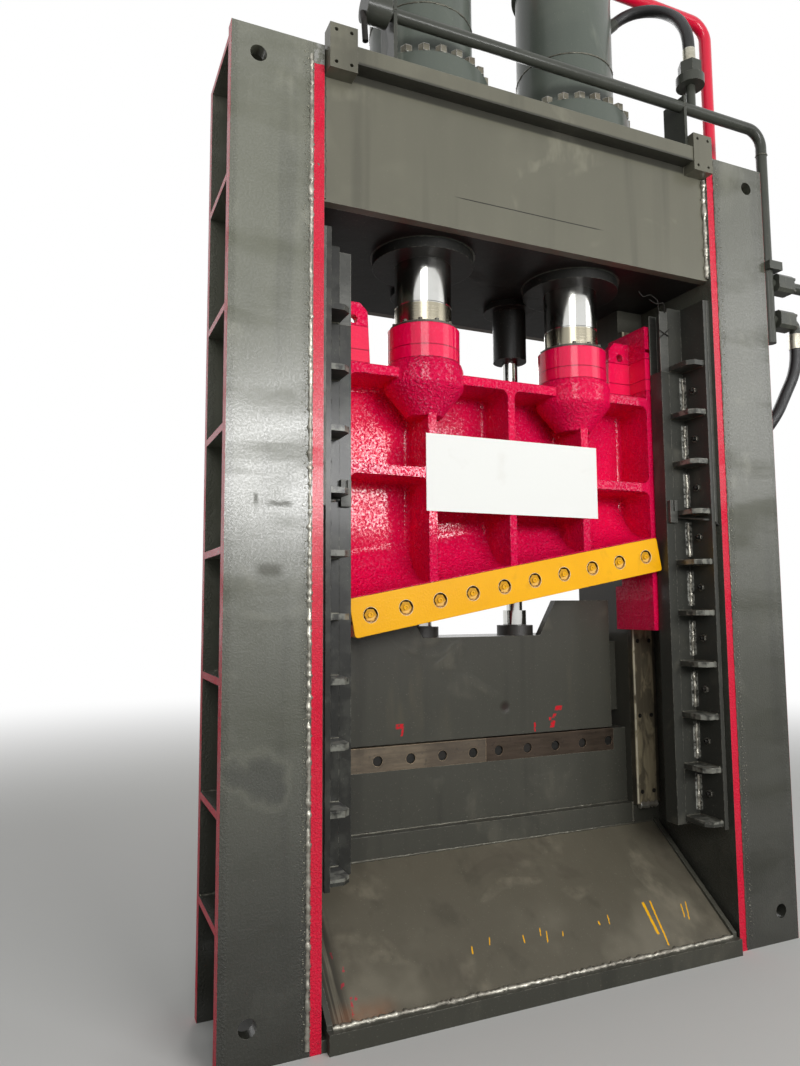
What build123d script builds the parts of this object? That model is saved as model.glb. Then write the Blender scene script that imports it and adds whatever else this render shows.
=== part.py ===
# Gantry shear: a welded portal frame whose slide, a ribbed casting, is pushed down by two
# hydraulic cylinders between the columns. Seen from the discharge side.
# Millimetres. X to the right, Y towards the feed side, Z up. The origin is on the floor,
# half way between the columns, in the plane of the columns' front edges.
import os
from math import acos, cos, degrees, radians, sin, sqrt, tan

from build123d import *

# Columns
opening_width = 1836
inner_plate_thickness = 40
front_plate_width = 302
front_plate_thickness = 50
rear_plate_thickness = 40
column_box_depth = 399
column_height = 3505
frame_depth = 1000
rib_thickness = 25
first_rib_height = 431
rib_steps = (360, 428, 434, 421, 421, 468)
cap_rib_drop = 31
tie_hole_diameter = 60
tie_hole_inset = 97
top_hole_drop = 102
bottom_hole_height = 128

# Beam across the top
beam_height = 588
beam_setback = 20
beam_plate_thickness = 40
beam_bottom_thickness = 60
beam_top_thickness = 68
beam_lip = 60
beam_web_thickness = 30
beam_web_offset = 700
keeper_width = 107
keeper_height = 173
keeper_drop = 40
keeper_thickness = 65
keeper_hole_diameter = 14
keeper_hole_depth = 22
keeper_hole_inset = 24

# Slide and its guides
guide_column_width = 152
guide_column_depth = 375
guide_column_wall = 40
liner_thickness = 25
liner_width = 140
liner_foot_drop = 5
liner_head_gap = 117
running_gap = 0.3
side_gap = 4
tongue_thickness = 205
tongue_width = 142
side_wall = 29
slide_clearance = 163
slide_height = 1419
slide_depth = 260
slide_rear_gap = 4
web_thickness = 56
rib_width = 38
centre_rib_width = 34
shelf_thickness = 40
top_shelf_drop = 345
middle_shelf_drop = 746
pocket_radius = 32
pocket_floor_radius = 22
lug_height = 290
lug_width = 118
lug_foot_spread = 14
lug_shoulder = 34
lug_corner_radius = 16
lug_thickness = 40
lug_setback = 112
lug_hole_diameter = 36
lug_hole_inset = 55
notch_height = 16
notch_depth = 26
notch_drop = 108

# Cylinders that drive the slide
cylinder_spacing = 752
cylinder_inset = 81
rod_diameter = 240
barrel_diameter = 445
barrel_bore = 330
barrel_flange_diameter = 580
barrel_flange_height = 145
barrel_neck_height = 60
barrel_neck_width = 14
gland_diameter = 430
gland_drop = 42
gland_spigot = 120
head_diameter = 480
head_height = 140
head_spigot = 30
piston_height = 160
piston_gap = 20
boss_diameter = 306
boss_drop = 161
boss_band = 145
boss_swell = 14
boss_skirt = 100
boss_cone = 120
boss_cone_foot = 150
socket_depth = 150
rod_collar_height = 94
rod_groove_width = 7
clamp_ring_height = 12
clamp_ring_width = 22
clamp_bolts = 12
flange_bolts = 24
flange_bolt_diameter = 30
stroke = 767
stroke_spare = 346

# Blades
blade_angle = 10.54
blade_line_drop = 1212
bar_end_gap = 4
bar_height = 150
bar_thickness = 41
bar_corner_radius = 12
bolt_pitch = 150
bolt_count = 10
bolt_diameter = 30
head_diameter_blade = 44
counterbore_diameter = 62
counterbore_depth = 24
bolt_clearance = 0.5
upper_blade_thickness = 50
upper_blade_height = 150
blade_overhang = 12
seat_gap = 5
shear_plane = 504
blade_gap = 0.5
lower_blade_height = 100
lower_blade_thickness = 45
lower_blade_inset = 71
lower_bolt_diameter = 26
lower_head_diameter = 42
lower_counterbore = 18
lower_bolt_start = 64.5
cove_radius = 180

# Front gibs
pad_thickness = 15
pad_front = 20
bracket_leg = 20
bracket_front = 20
gib_depth = 72.4
gib_leg_thickness = 25
gib_face_width = 46
gib_cover = 5
bracket_foot_drop = 30
bracket_head_gap = 91
upper_pad_length = 1022
pad_step = 14
gib_head_drop = 307
gusset_front = 28
gusset_thickness = 22
gusset_start = 13
gusset_pitch = 224
gusset_head_space = 250
gusset_chamfer = 26
channel_height = 286
channel_sheet = 4
oiler_height = 100
oiler_thickness = 20
oiler_drop = 1006
oiler_slot = 14
oil_tube_diameter = 10

# Bed, chute and hold-down
table_height = 868
table_thickness = 60
seat_thickness = 100
base_thickness = 40
bed_rear_thickness = 40
bed_rib_thickness = 30
bed_rib_pitch = 300
ledge_top = 525
ledge_thickness = 39
ledge_height = 95
chute_foot_height = 66
chute_thickness = 16
chute_side_gap = 18
chute_lip = 16
chute_side_thickness = 20
chute_front_bar = 30
chute_rib_pitch = 440
hold_down_lift = 520
hold_down_spare = 77
hold_down_front_gap = 8
hold_down_depth = 290
hold_down_gap = 6
hold_down_height = 600
hold_down_recess = 160
recess_half_width = 300
recess_slope = 90
hold_down_plate = 40
hold_down_rib = 30
hold_down_spacing = 500
hold_down_offset = 650
hold_down_rod_diameter = 75
hold_down_barrel_diameter = 162
hold_down_bore = 110
hold_down_flange_diameter = 250
hold_down_flange_thickness = 30
hold_down_cap = 40
hold_down_piston = 80
coupling_diameter = 170
coupling_height = 45
coupling_neck_diameter = 110
coupling_neck_height = 70
shoe_width = 73
shoe_height = 330
shoe_depth = 190
shoe_drop = 40

# Pipes and hoses
pipe_diameter = 50
pipe_rise = 215
pipe_axis_front = 12
pipe_bend_radius = 80
pipe_drop_offset = 27
pipe_foot_drop = 493
pipe_left_end = -760
end_cap_diameter = 116
end_cap_length = 96
bracket_plate = 14
bracket_front_edge = -13
bracket_rear_edge = 118
bracket_above_axis = 45
bracket_left = -640
bracket_right = 796
right_stub = 856
left_stub = -712
stub_height = 115
stub_diameter = 42
nut_flange_diameter = 126
nut_flange_height = 44
nut_across = 92
nut_height = 110
ferrule_height = 72
ferrule_diameter = 50
hose_diameter = 54
clamp_length = 82
clamp_width = 84
clamp_height = 40
clamp_lift = 10
manifold_diameter = 52
manifold_height = 340
branch_diameter = 44
branch_reach = 72
branch_flange_size = 84
branch_flange_thickness = 42
branch_collar_thickness = 58
branch_fitting_diameter = 50
branch_port_reach = 158
branch_port_diameter = 32
branch_elbow_radius = 30
branch_elbow_tail = 24
branch_screw_inset = 14
branch_screw_head = 14
branch_screw_diameter = 18
upper_branch_drop = 45
lower_branch_drop = 222
port_drop = 98
port_boss_reach = 32
port_spout_length = 60
port_tilt = 42
port_swing = 20
bulkhead_height = 2150
bulkhead_inset = 55
bulkhead_length = 46
return_pipe_diameter = 60
return_pipe_inset = 38
return_pipe_setback = 56
return_bend_radius = 95
foot_flange_diameter = 120
foot_flange_thickness = 14
sign_width = 842
sign_height = 318
sign_drop = 604
sign_thickness = 3
sign_centre = 14

# Values worked out from the sizes above
half_opening = opening_width / 2
column_inner = half_opening + inner_plate_thickness
column_outer = column_inner + front_plate_width
rear_plate_front = column_box_depth - rear_plate_thickness
beam_bottom = column_height - beam_height
beam_front = beam_setback + beam_plate_thickness
beam_rear = frame_depth - beam_plate_thickness
beam_top_underside = column_height - beam_top_thickness
guide_inner = half_opening - guide_column_width
ledge_front = shear_plane - ledge_thickness
guide_column_front = ledge_front
liner_front = guide_column_front - liner_thickness
liner_bottom = ledge_top - liner_foot_drop
liner_top = beam_bottom - liner_head_gap
tongue_rear = liner_front - running_gap
tongue_front = tongue_rear - tongue_thickness
gib_rear = tongue_front - running_gap
gib_front = gib_rear - gib_depth
slide_half_width = guide_inner - side_gap
slide_rear = shear_plane - slide_rear_gap
slide_front = slide_rear - slide_depth
slide_top = beam_bottom - slide_clearance
slide_foot = slide_top - slide_height
top_shelf_height = slide_top - top_shelf_drop
middle_shelf_height = slide_top - middle_shelf_drop
boss_top = slide_top - boss_drop
blade_line_height = slide_top - blade_line_drop
sign_bottom = slide_top - sign_drop - sign_height
pocket_half_width = slide_half_width - side_wall
tongue_half_width = pocket_half_width + tongue_width
web_front = slide_rear - web_thickness
cylinder_x = cylinder_spacing / 2
cylinder_offset = slide_front + cylinder_inset
piston_top = beam_bottom + gland_spigot + stroke_spare + stroke + piston_height
barrel_top = piston_top + piston_gap + head_spigot
pad_face = half_opening - pad_thickness
bracket_face = pad_face - bracket_leg
bracket_bottom = ledge_top - bracket_foot_drop
bracket_top = beam_bottom - bracket_head_gap
pad_step_height = bracket_top - upper_pad_length
oiler_bottom = bracket_top - oiler_drop
gusset_bottom = bracket_bottom + gusset_start
gusset_reach = bracket_top - gusset_head_space - gusset_thickness - gusset_bottom
gusset_count = int(gusset_reach // gusset_pitch) + 1
gib_inner = slide_half_width - gib_cover
gib_top = bracket_top - gib_head_drop
slope = radians(blade_angle)
upper_blade_rear = shear_plane - blade_gap
bar_front = slide_front - bar_thickness
bar_half_length = (gib_inner - bar_end_gap - bar_height / 2 * sin(slope)) / cos(slope)
bolt_row = [(i - (bolt_count - 1) / 2) * bolt_pitch for i in range(bolt_count)]
table_underside = table_height - table_thickness
seat_rear = shear_plane + seat_thickness
lower_blade_length = guide_inner - lower_blade_inset
chute_half_width = half_opening - chute_side_gap - chute_side_thickness
pipe_drop_side = column_outer + pipe_drop_offset
pipe_axis_height = column_height + pipe_rise
pipe_foot_height = column_height - pipe_foot_drop
port_height = barrel_top - port_drop
bulkhead_side = column_outer - bulkhead_inset
return_pipe_side = column_outer - return_pipe_inset
return_pipe_offset = cylinder_offset - return_pipe_setback
return_pipe_height = barrel_top + head_height / 2
hold_down_x = hold_down_spacing / 2
hold_down_half_width = guide_inner - shoe_width
hold_down_front = shear_plane + hold_down_front_gap
hold_down_bottom = table_height + hold_down_gap
hold_down_barrel_bottom = (beam_top_underside - hold_down_cap - hold_down_lift
                           - hold_down_spare - 2 * hold_down_piston)


def block(x0, x1, y0, y1, z0, z1):
    return Pos((x0 + x1) / 2, (y0 + y1) / 2, (z0 + z1) / 2) * Box(x1 - x0, y1 - y0, z1 - z0)


def post(x, y, z0, z1, diameter):
    return Pos(x, y, (z0 + z1) / 2) * Cylinder(diameter / 2, z1 - z0)


def bar_along_x(y, z, x0, x1, diameter):
    return Pos((x0 + x1) / 2, y, z) * Rot(0, 90, 0) * Cylinder(diameter / 2, x1 - x0)


def bar_along_y(x, z, y0, y1, diameter):
    return Pos(x, (y0 + y1) / 2, z) * Rot(90, 0, 0) * Cylinder(diameter / 2, y1 - y0)


def turned(x, y, profile):
    # A turned piece about the vertical axis at x, y from its (radius, height) outline.
    outline = make_face(Plane.XZ * Polyline(*profile, close=True))
    return Pos(x, y, 0) * revolve(outline, Axis.Z)


def hexagon(x, y, z0, z1, across):
    return Pos(x, y, z0) * extrude(RegularPolygon(across / 2, 6, major_radius=False), z1 - z0)


def profile_along_z(points, z0, z1):
    face = make_face(Polyline(*points, close=True))
    return Pos(0, 0, z0) * extrude(face, z1 - z0, dir=(0, 0, 1))


def profile_along_x(points, x0, x1):
    # points are (y, z)
    face = make_face(Plane.YZ * Polyline(*points, close=True))
    return Pos(x0, 0, 0) * extrude(face, x1 - x0, dir=(1, 0, 0))


def profile_along_y(points, y0, y1):
    # points are (x, z)
    face = make_face(Plane.XZ * Polyline(*points, close=True))
    return Pos(0, y0, 0) * extrude(face, y1 - y0, dir=(0, 1, 0))


def both_sides(right_piece):
    return [mirror(right_piece, about=Plane.YZ), right_piece]


def save(name, solids):
    pieces = solids if isinstance(solids, list) else [solids]
    flat = [solid for piece in pieces for solid in piece.solids()]
    shape = flat[0] if len(flat) == 1 else Compound(children=flat)
    shape.label = name
    export_step(shape, os.path.join("parts", name + ".step"))


def save_pair(name, right_piece):
    left, right = both_sides(right_piece)
    save("left_" + name, left)
    save("right_" + name, right)


# Columns

def front_plate():
    plate = block(column_inner, column_outer, 0, front_plate_thickness, 0, column_height)
    hole_x = column_outer - tie_hole_inset
    for z in (bottom_hole_height, column_height - top_hole_drop):
        plate -= bar_along_y(hole_x, z, -1, front_plate_thickness + 1, tie_hole_diameter)
    return plate


def inner_plate():
    return block(half_opening, column_inner, 0, frame_depth, 0, column_height)


def rear_plate():
    return block(column_inner, column_outer, rear_plate_front, column_box_depth, 0,
                 column_height - cap_rib_drop)


def column_rib_heights():
    cap = column_height - cap_rib_drop
    heights = [first_rib_height]
    for step in rib_steps:
        heights.append(heights[-1] + step)
    return [z for z in heights if z < cap - 2 * rib_thickness] + [cap]


def column_ribs():
    ribs = []
    for z in column_rib_heights():
        rib = block(column_inner, column_outer, front_plate_thickness, rear_plate_front,
                    z - rib_thickness, z)
        ribs.append(rib)
    return ribs


def right_column_ribs():
    # The cap has a hole where the return pipe goes down.
    ribs = column_ribs()
    ribs[-1] -= post(return_pipe_side, return_pipe_offset, 0, column_height,
                     return_pipe_diameter + 2 * running_gap)
    return ribs


# Beam

def beam_front_plate():
    return block(-half_opening, half_opening, beam_setback, beam_front, beam_bottom,
                 beam_top_underside)


def beam_rear_plate():
    return block(-half_opening, half_opening, beam_rear, frame_depth, beam_bottom,
                 beam_top_underside)


def beam_top_plate():
    lip_half_width = half_opening - 6 - keeper_width
    plate = block(-half_opening, half_opening, beam_setback, frame_depth,
                  beam_top_underside, column_height)
    plate += block(-lip_half_width, lip_half_width, beam_setback - beam_lip, beam_setback,
                   beam_top_underside, column_height)
    for x in (-cylinder_x, cylinder_x):
        plate -= post(x, cylinder_offset, beam_bottom, column_height + 1,
                      barrel_diameter + 2 * running_gap)
    return plate


def beam_bottom_plate():
    plate = block(-half_opening, half_opening, beam_front, beam_rear, beam_bottom,
                  beam_bottom + beam_bottom_thickness)
    for x in (-cylinder_x, cylinder_x):
        plate -= post(x, cylinder_offset, 0, column_height, barrel_diameter + 2 * running_gap)
    for x in (-hold_down_x, hold_down_x):
        plate -= post(x, hold_down_offset, 0, column_height,
                      hold_down_barrel_diameter + 2 * running_gap)
    return plate


def beam_webs():
    webs = []
    for x in (-beam_web_offset, 0, beam_web_offset):
        webs.append(block(x - beam_web_thickness / 2, x + beam_web_thickness / 2, beam_front,
                          beam_rear, beam_bottom + beam_bottom_thickness, beam_top_underside))
    return webs


def keeper_block():
    inner = half_opening - 6 - keeper_width
    bottom = beam_top_underside - keeper_drop
    keeper = block(inner, inner + keeper_width, beam_setback - keeper_thickness, beam_setback,
                   bottom, bottom + keeper_height)
    front = beam_setback - keeper_thickness
    for x in (inner + keeper_hole_inset, inner + keeper_width - keeper_hole_inset):
        for z in (bottom + keeper_hole_inset, bottom + keeper_height - keeper_hole_inset):
            keeper -= bar_along_y(x, z, front - 1, front + keeper_hole_depth,
                                  keeper_hole_diameter)
    return keeper


# Guides

def guide_column():
    # A channel section against the inner plate: its front flange carries the liner and its
    # inner wall guides the hold-down.
    rear = guide_column_front + guide_column_depth
    wall = guide_inner + guide_column_wall
    front_flange = guide_column_front + 2 * guide_column_wall
    points = [(guide_inner, guide_column_front), (half_opening, guide_column_front),
              (half_opening, front_flange), (wall, front_flange),
              (wall, rear - guide_column_wall), (half_opening, rear - guide_column_wall),
              (half_opening, rear), (guide_inner, rear)]
    return profile_along_z(points, base_thickness, beam_bottom)


def rear_liner():
    return block(guide_inner, guide_inner + liner_width, liner_front, guide_column_front,
                 liner_bottom, liner_top)


def guide_pad():
    upper = block(pad_face, half_opening, pad_front, gib_rear, pad_step_height, bracket_top)
    lower = block(pad_face, half_opening, pad_front + pad_step, gib_rear, bracket_bottom,
                  pad_step_height)
    return upper + lower


def gib_bracket():
    # Two legs at a right angle, tied together by clipped gussets: one weldment.
    step = gib_inner + gib_face_width
    bracket = block(bracket_face, pad_face, bracket_front, gib_front + gib_leg_thickness,
                    bracket_bottom, bracket_top)
    bracket += block(step, pad_face, gib_front, gib_front + gib_leg_thickness,
                     bracket_bottom, bracket_top)
    outline = [(step, gib_front), (bracket_face, gib_front), (bracket_face, gusset_front),
               (step + gusset_chamfer, gusset_front), (step, gusset_front + gusset_chamfer)]
    for i in range(gusset_count):
        z = gusset_bottom + i * gusset_pitch
        bracket += profile_along_z(outline, z, z + gusset_thickness)
    return bracket


def gib_bar():
    # The bar stands beside the bracket's front leg and reaches behind it.
    step = gib_inner + gib_face_width
    leg_rear = gib_front + gib_leg_thickness
    points = [(gib_inner, gib_front), (step, gib_front), (step, leg_rear),
              (bracket_face, leg_rear), (bracket_face, gib_rear), (gib_inner, gib_rear)]
    return profile_along_z(points, bracket_bottom, gib_top)


def gib_end_channel():
    # A folded sheet channel, open towards the slide, that lengthens the gib upwards.
    outer = block(gib_inner, gib_inner + gib_face_width, gib_front, gib_rear, gib_top,
                  gib_top + channel_height)
    return outer - block(gib_inner - 1, gib_inner + gib_face_width - channel_sheet,
                         gib_front + channel_sheet, gib_rear - channel_sheet, gib_top - 1,
                         gib_top + channel_height + 1)


def oiler():
    right = gib_inner + gib_face_width
    body = block(gib_inner + 6, right, gib_front - oiler_thickness, gib_front, oiler_bottom,
                 oiler_bottom + oiler_height)
    body -= block(gib_inner + 6 + oiler_slot, right - oiler_slot, gib_front - oiler_thickness - 1,
                  gib_front - oiler_thickness / 2, oiler_bottom + oiler_height / 2,
                  oiler_bottom + oiler_height + 1)
    z = oiler_bottom + oiler_height / 4
    y = gib_front - oiler_thickness / 2
    low = z - 2 * oil_tube_diameter
    path = FilletPolyline((right, y, z), (right + 30, y, z),
                          (bracket_face - 20, gusset_front + 12, low),
                          (bracket_face, gusset_front + 12, low), radius=12)
    tube = sweep(path.location_at(0) * Circle(oil_tube_diameter / 2), path=path)
    return [body, tube]


# Bed and chute

def bed_blade_seat():
    seat = block(-guide_inner, guide_inner, shear_plane, seat_rear, base_thickness,
                 table_height)
    seat -= block(-lower_blade_length, lower_blade_length, shear_plane - 1,
                  shear_plane + lower_blade_thickness, table_height - lower_blade_height,
                  table_height + 1)
    for x in lower_bolt_places():
        seat -= bar_along_y(x, lower_bolt_height(), shear_plane, seat_rear + 1,
                            lower_bolt_diameter + 2 * bolt_clearance)
    seat += block(-guide_inner, guide_inner, ledge_front, shear_plane,
                  ledge_top - ledge_height, ledge_top)
    return seat


def lower_bolt_places():
    half = [lower_bolt_start + i * bolt_pitch for i in range(bolt_count // 2)]
    return [-x for x in half] + half


def lower_bolt_height():
    return table_height - lower_blade_height / 2 - 7


def lower_blade():
    blade = block(0.05, lower_blade_length, shear_plane, shear_plane + lower_blade_thickness,
                  table_height - lower_blade_height, table_height)
    for x in lower_bolt_places():
        blade -= bar_along_y(x, lower_bolt_height(), 0, frame_depth,
                             lower_bolt_diameter + 2 * bolt_clearance)
        blade -= bar_along_y(x, lower_bolt_height(), 0, shear_plane + lower_counterbore,
                             lower_head_diameter + 2 * bolt_clearance)
    return blade


def lower_blade_bolts():
    # Socket-headed, sunk in the blade's face and screwed into the seat.
    bolts = []
    z = lower_bolt_height()
    seat_face = shear_plane + lower_counterbore
    head = seat_face - lower_counterbore * 0.6
    for x in lower_bolt_places():
        bolt = bar_along_y(x, z, head, seat_face, lower_head_diameter)
        bolt += bar_along_y(x, z, seat_face, seat_rear, lower_bolt_diameter)
        bolts.append(bolt)
    return bolts


def bed_table_plate():
    return block(-guide_inner, guide_inner, seat_rear, frame_depth, table_underside,
                 table_height)


def bed_rear_plate():
    return block(-guide_inner, guide_inner, frame_depth - bed_rear_thickness, frame_depth,
                 base_thickness, table_underside)


def bed_ribs():
    count = int(guide_inner // bed_rib_pitch)
    return [block(i * bed_rib_pitch - bed_rib_thickness / 2,
                  i * bed_rib_pitch + bed_rib_thickness / 2, seat_rear,
                  frame_depth - bed_rear_thickness, base_thickness, table_underside)
            for i in range(-count, count + 1)]


def base_plate():
    return block(-half_opening, half_opening, 0, frame_depth, 0, base_thickness)


def chute_height(y):
    # Top of the chute plate at depth y.
    top = ledge_top - ledge_height
    return chute_foot_height + (top - chute_foot_height) * y / ledge_front


def chute_plate():
    slant = sqrt(ledge_front ** 2 + (chute_height(ledge_front) - chute_foot_height) ** 2)
    drop = chute_thickness * slant / ledge_front
    points = [(0, chute_height(0)), (ledge_front, chute_height(ledge_front)),
              (ledge_front, chute_height(ledge_front) - drop), (0, chute_height(0) - drop)]
    return profile_along_x(points, -chute_half_width, chute_half_width)


def chute_under(y):
    slant = sqrt(ledge_front ** 2 + (chute_height(ledge_front) - chute_foot_height) ** 2)
    return chute_height(y) - chute_thickness * slant / ledge_front


def chute_frame():
    # The bar along the foot, the ribs below the plate and the lips beside it.
    outer = chute_half_width + chute_side_thickness
    pieces = [block(-outer, outer, -chute_front_bar, 0, 0, chute_foot_height)]
    count = int(chute_half_width // chute_rib_pitch)
    points = [(0, base_thickness), (0, chute_under(0)),
              (ledge_front, chute_under(ledge_front)), (ledge_front, base_thickness)]
    for i in range(-count, count + 1):
        x = i * chute_rib_pitch
        pieces.append(profile_along_x(points, x - bed_rib_thickness / 2,
                                      x + bed_rib_thickness / 2))
    lip = [(0, base_thickness), (0, chute_height(0) + chute_lip),
           (ledge_front, chute_height(ledge_front) + chute_lip), (ledge_front, base_thickness)]
    side = profile_along_x(lip, chute_half_width, chute_half_width + chute_side_thickness)
    return pieces + both_sides(side)


# Cylinders

def main_barrel():
    bore = barrel_bore / 2
    outer = barrel_diameter / 2
    flange = barrel_flange_diameter / 2
    flange_top = column_height + barrel_flange_height
    barrel = turned(cylinder_x, cylinder_offset, [
        (bore, beam_bottom), (outer, beam_bottom), (outer, column_height),
        (flange, column_height), (flange, flange_top),
        (outer + barrel_neck_width, flange_top), (outer, flange_top + barrel_neck_height),
        (outer, barrel_top), (bore, barrel_top)])
    for angle in range(flange_bolts):
        x, y = flange_bolt_place(angle)
        barrel -= post(x, y, column_height - 1, flange_top + 1,
                       flange_bolt_diameter + 2 * bolt_clearance)
    return barrel


def flange_bolt_place(index):
    turn = radians((index + 0.5) * 360 / flange_bolts)
    radius = (barrel_diameter + 2 * barrel_neck_width + barrel_flange_diameter) / 4 + 6
    return cylinder_x + radius * cos(turn), cylinder_offset + radius * sin(turn)


def main_cylinder_studs():
    # Studs stand on the beam's top plate and carry nuts on the flange.
    flange_top = column_height + barrel_flange_height
    bolts = []
    for index in range(flange_bolts):
        x, y = flange_bolt_place(index)
        bolts.append(post(x, y, column_height, flange_top, flange_bolt_diameter)
                     + hexagon(x, y, flange_top, flange_top + flange_bolt_diameter,
                               1.5 * flange_bolt_diameter))
    return bolts


def main_gland():
    # Screwed up into the barrel's lower end; the rod runs in it.
    inner = rod_diameter / 2 + running_gap
    return turned(cylinder_x, cylinder_offset, [
        (inner, beam_bottom - gland_drop), (gland_diameter / 2, beam_bottom - gland_drop),
        (gland_diameter / 2, beam_bottom), (barrel_bore / 2, beam_bottom),
        (barrel_bore / 2, beam_bottom + gland_spigot), (inner, beam_bottom + gland_spigot)])


def cylinder_head():
    outer = head_diameter / 2
    bore = barrel_bore / 2
    head = turned(cylinder_x, cylinder_offset, [
        (0, barrel_top - head_spigot), (bore, barrel_top - head_spigot), (bore, barrel_top),
        (outer, barrel_top), (outer, barrel_top + head_height - 15),
        (outer - 15, barrel_top + head_height), (0, barrel_top + head_height)])
    for flat in (cylinder_x - barrel_diameter / 2 - 100, cylinder_x + barrel_diameter / 2):
        head -= block(flat, flat + 100, cylinder_offset - outer, cylinder_offset + outer,
                      barrel_top + 10, barrel_top + head_height + 1)
    return head


def piston_rod():
    # Rod and piston turned as one piece; the lower end sits in the slide's boss.
    rod = rod_diameter / 2
    piston = barrel_bore / 2 - running_gap
    groove = boss_top + rod_collar_height
    return turned(cylinder_x, cylinder_offset, [
        (0, boss_top - socket_depth), (rod - 8, boss_top - socket_depth),
        (rod, boss_top - socket_depth + 8), (rod, groove), (rod - 3, groove),
        (rod - 3, groove + rod_groove_width), (rod, groove + rod_groove_width),
        (rod, piston_top - piston_height), (piston, piston_top - piston_height),
        (piston, piston_top), (0, piston_top)])


def rod_clamp_ring():
    inner = rod_diameter / 2 + running_gap
    outer = inner + clamp_ring_width
    return turned(cylinder_x, cylinder_offset, [
        (inner, boss_top), (outer, boss_top), (outer, boss_top + clamp_ring_height),
        (inner, boss_top + clamp_ring_height)])


def rod_clamp_bolts():
    bolts = []
    top = boss_top + clamp_ring_height
    for index in range(clamp_bolts):
        turn = radians(index * 360 / clamp_bolts)
        radius = rod_diameter / 2 + running_gap + clamp_ring_width / 2
        bolts.append(hexagon(cylinder_x + radius * cos(turn), cylinder_offset
                             + radius * sin(turn), top, top + 10, clamp_ring_width - 5))
    return bolts


def hold_down_barrel():
    bore = hold_down_bore / 2
    outer = hold_down_barrel_diameter / 2
    rod = hold_down_rod_diameter / 2 + running_gap
    flange = hold_down_flange_diameter / 2
    gland_top = hold_down_barrel_bottom + hold_down_piston
    flange_bottom = beam_bottom - hold_down_flange_thickness
    profile = [(rod, hold_down_barrel_bottom), (outer, hold_down_barrel_bottom),
               (outer, flange_bottom), (flange, flange_bottom), (flange, beam_bottom),
               (outer, beam_bottom), (outer, beam_top_underside), (0, beam_top_underside),
               (0, beam_top_underside - hold_down_cap), (bore, beam_top_underside - hold_down_cap),
               (bore, gland_top), (rod, gland_top)]
    return turned(hold_down_x, hold_down_offset, profile)


# Slide

def slope_plane(y=0):
    # A plane across the blade line: its x runs towards the feed side and its y is up.
    return Plane(origin=(0, y, blade_line_height), x_dir=(0, 1, 0),
                 z_dir=(cos(slope), 0, sin(slope)))


def along_slope(points, half_length):
    # points are (depth, height above the bolt line), carried along the blade line
    face = make_face(slope_plane() * Polyline(*points, close=True))
    direction = Vector(cos(slope), 0, sin(slope))
    return Pos(*(-direction * half_length)) * extrude(face, 2 * half_length, dir=direction)


def slope_bar(y0, y1, low, high, half_length):
    return along_slope([(y0, low), (y1, low), (y1, high), (y0, high)], half_length)


def slope_point(distance, height=0):
    x = distance * cos(slope) - height * sin(slope)
    z = blade_line_height + distance * sin(slope) + height * cos(slope)
    return x, z


def line_height(x, height=0):
    # Height over the floor of a line parallel to the blade line at a side position x.
    return blade_line_height + x * tan(slope) + height / cos(slope)


def pocket(x0, x1, z0, z1):
    # A moulded recess with round corners and a round floor edge.
    width, height = x1 - x0, z1 - z0
    outline = RectangleRounded(width, height, pocket_radius)
    tool = extrude(Plane.XZ * outline, -(web_front - slide_front + 100))
    tool = Pos((x0 + x1) / 2, slide_front - 100, (z0 + z1) / 2) * tool
    floor_edges = tool.faces().sort_by(Axis.Y)[-1].edges()
    return fillet(floor_edges, pocket_floor_radius)


def slide_pockets():
    # Four bays between the ribs, in two rows. The lower row ends above the blade seat
    # with a cove that brings the web forward to the seat's front face.
    side = pocket_half_width
    rib = rib_width / 2
    centre = centre_rib_width / 2
    bays = [(-side, -cylinder_x - rib), (-cylinder_x + rib, -centre),
            (centre, cylinder_x - rib), (cylinder_x + rib, side)]
    low = line_height(-side, bar_height / 2)
    seat_top = bar_height / 2 + 4
    middle_underside = middle_shelf_height - shelf_thickness
    arc_mid = (web_front - cove_radius * (1 - cos(radians(45))),
               seat_top + cove_radius * (1 - sin(radians(45))))
    far = slide_front - 200
    with BuildPart() as cove:
        with BuildSketch(slope_plane()):
            with BuildLine():
                start = (web_front - cove_radius, seat_top)
                finish = (web_front, seat_top + cove_radius)
                Polyline((far, seat_top), start)
                ThreePointArc(start, arc_mid, finish)
                Polyline(finish, (web_front + 1, seat_top + cove_radius),
                         (web_front + 1, slide_height), (far, slide_height),
                         (far, seat_top))
            make_face()
        extrude(amount=2 * half_opening, both=True)
    cuts = []
    for x0, x1 in bays:
        cuts.append(pocket(x0, x1, middle_shelf_height, top_shelf_height - shelf_thickness))
        cuts.append(pocket(x0, x1, low - cove_radius, middle_underside) & cove.part)
    return cuts


def boss():
    # Socket for the piston rod: a turned band that swells into the rough casting, and a
    # short cone that runs into the rib.
    radius = boss_diameter / 2
    full = radius + boss_swell
    band_foot = boss_top - boss_band
    skirt_foot = band_foot - boss_skirt
    return turned(cylinder_x, cylinder_offset, [
        (0, boss_top), (radius - 3, boss_top), (radius, boss_top - 3), (radius, band_foot),
        (radius + boss_swell / 2, band_foot - boss_swell / 2), (full, band_foot - 2 * boss_swell),
        (full, skirt_foot), (full - boss_swell / 2, skirt_foot - boss_swell),
        (boss_cone_foot / 2, skirt_foot - boss_cone), (0, skirt_foot - boss_cone)])


def slide_side():
    side = block(pocket_half_width, slide_half_width, slide_front, slide_rear, slide_foot,
                 slide_top)
    side += block(pocket_half_width, tongue_half_width, slide_front, tongue_rear, slide_foot,
                  slide_top)
    side += block(slide_half_width, tongue_half_width, tongue_front, slide_front, slide_foot,
                  slide_top)
    notch_top = slide_top - notch_drop
    side -= block(slide_half_width - notch_depth, tongue_half_width + 1, slide_front - 1,
                  tongue_front + notch_depth, notch_top - notch_height, notch_top)
    return side


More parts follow.
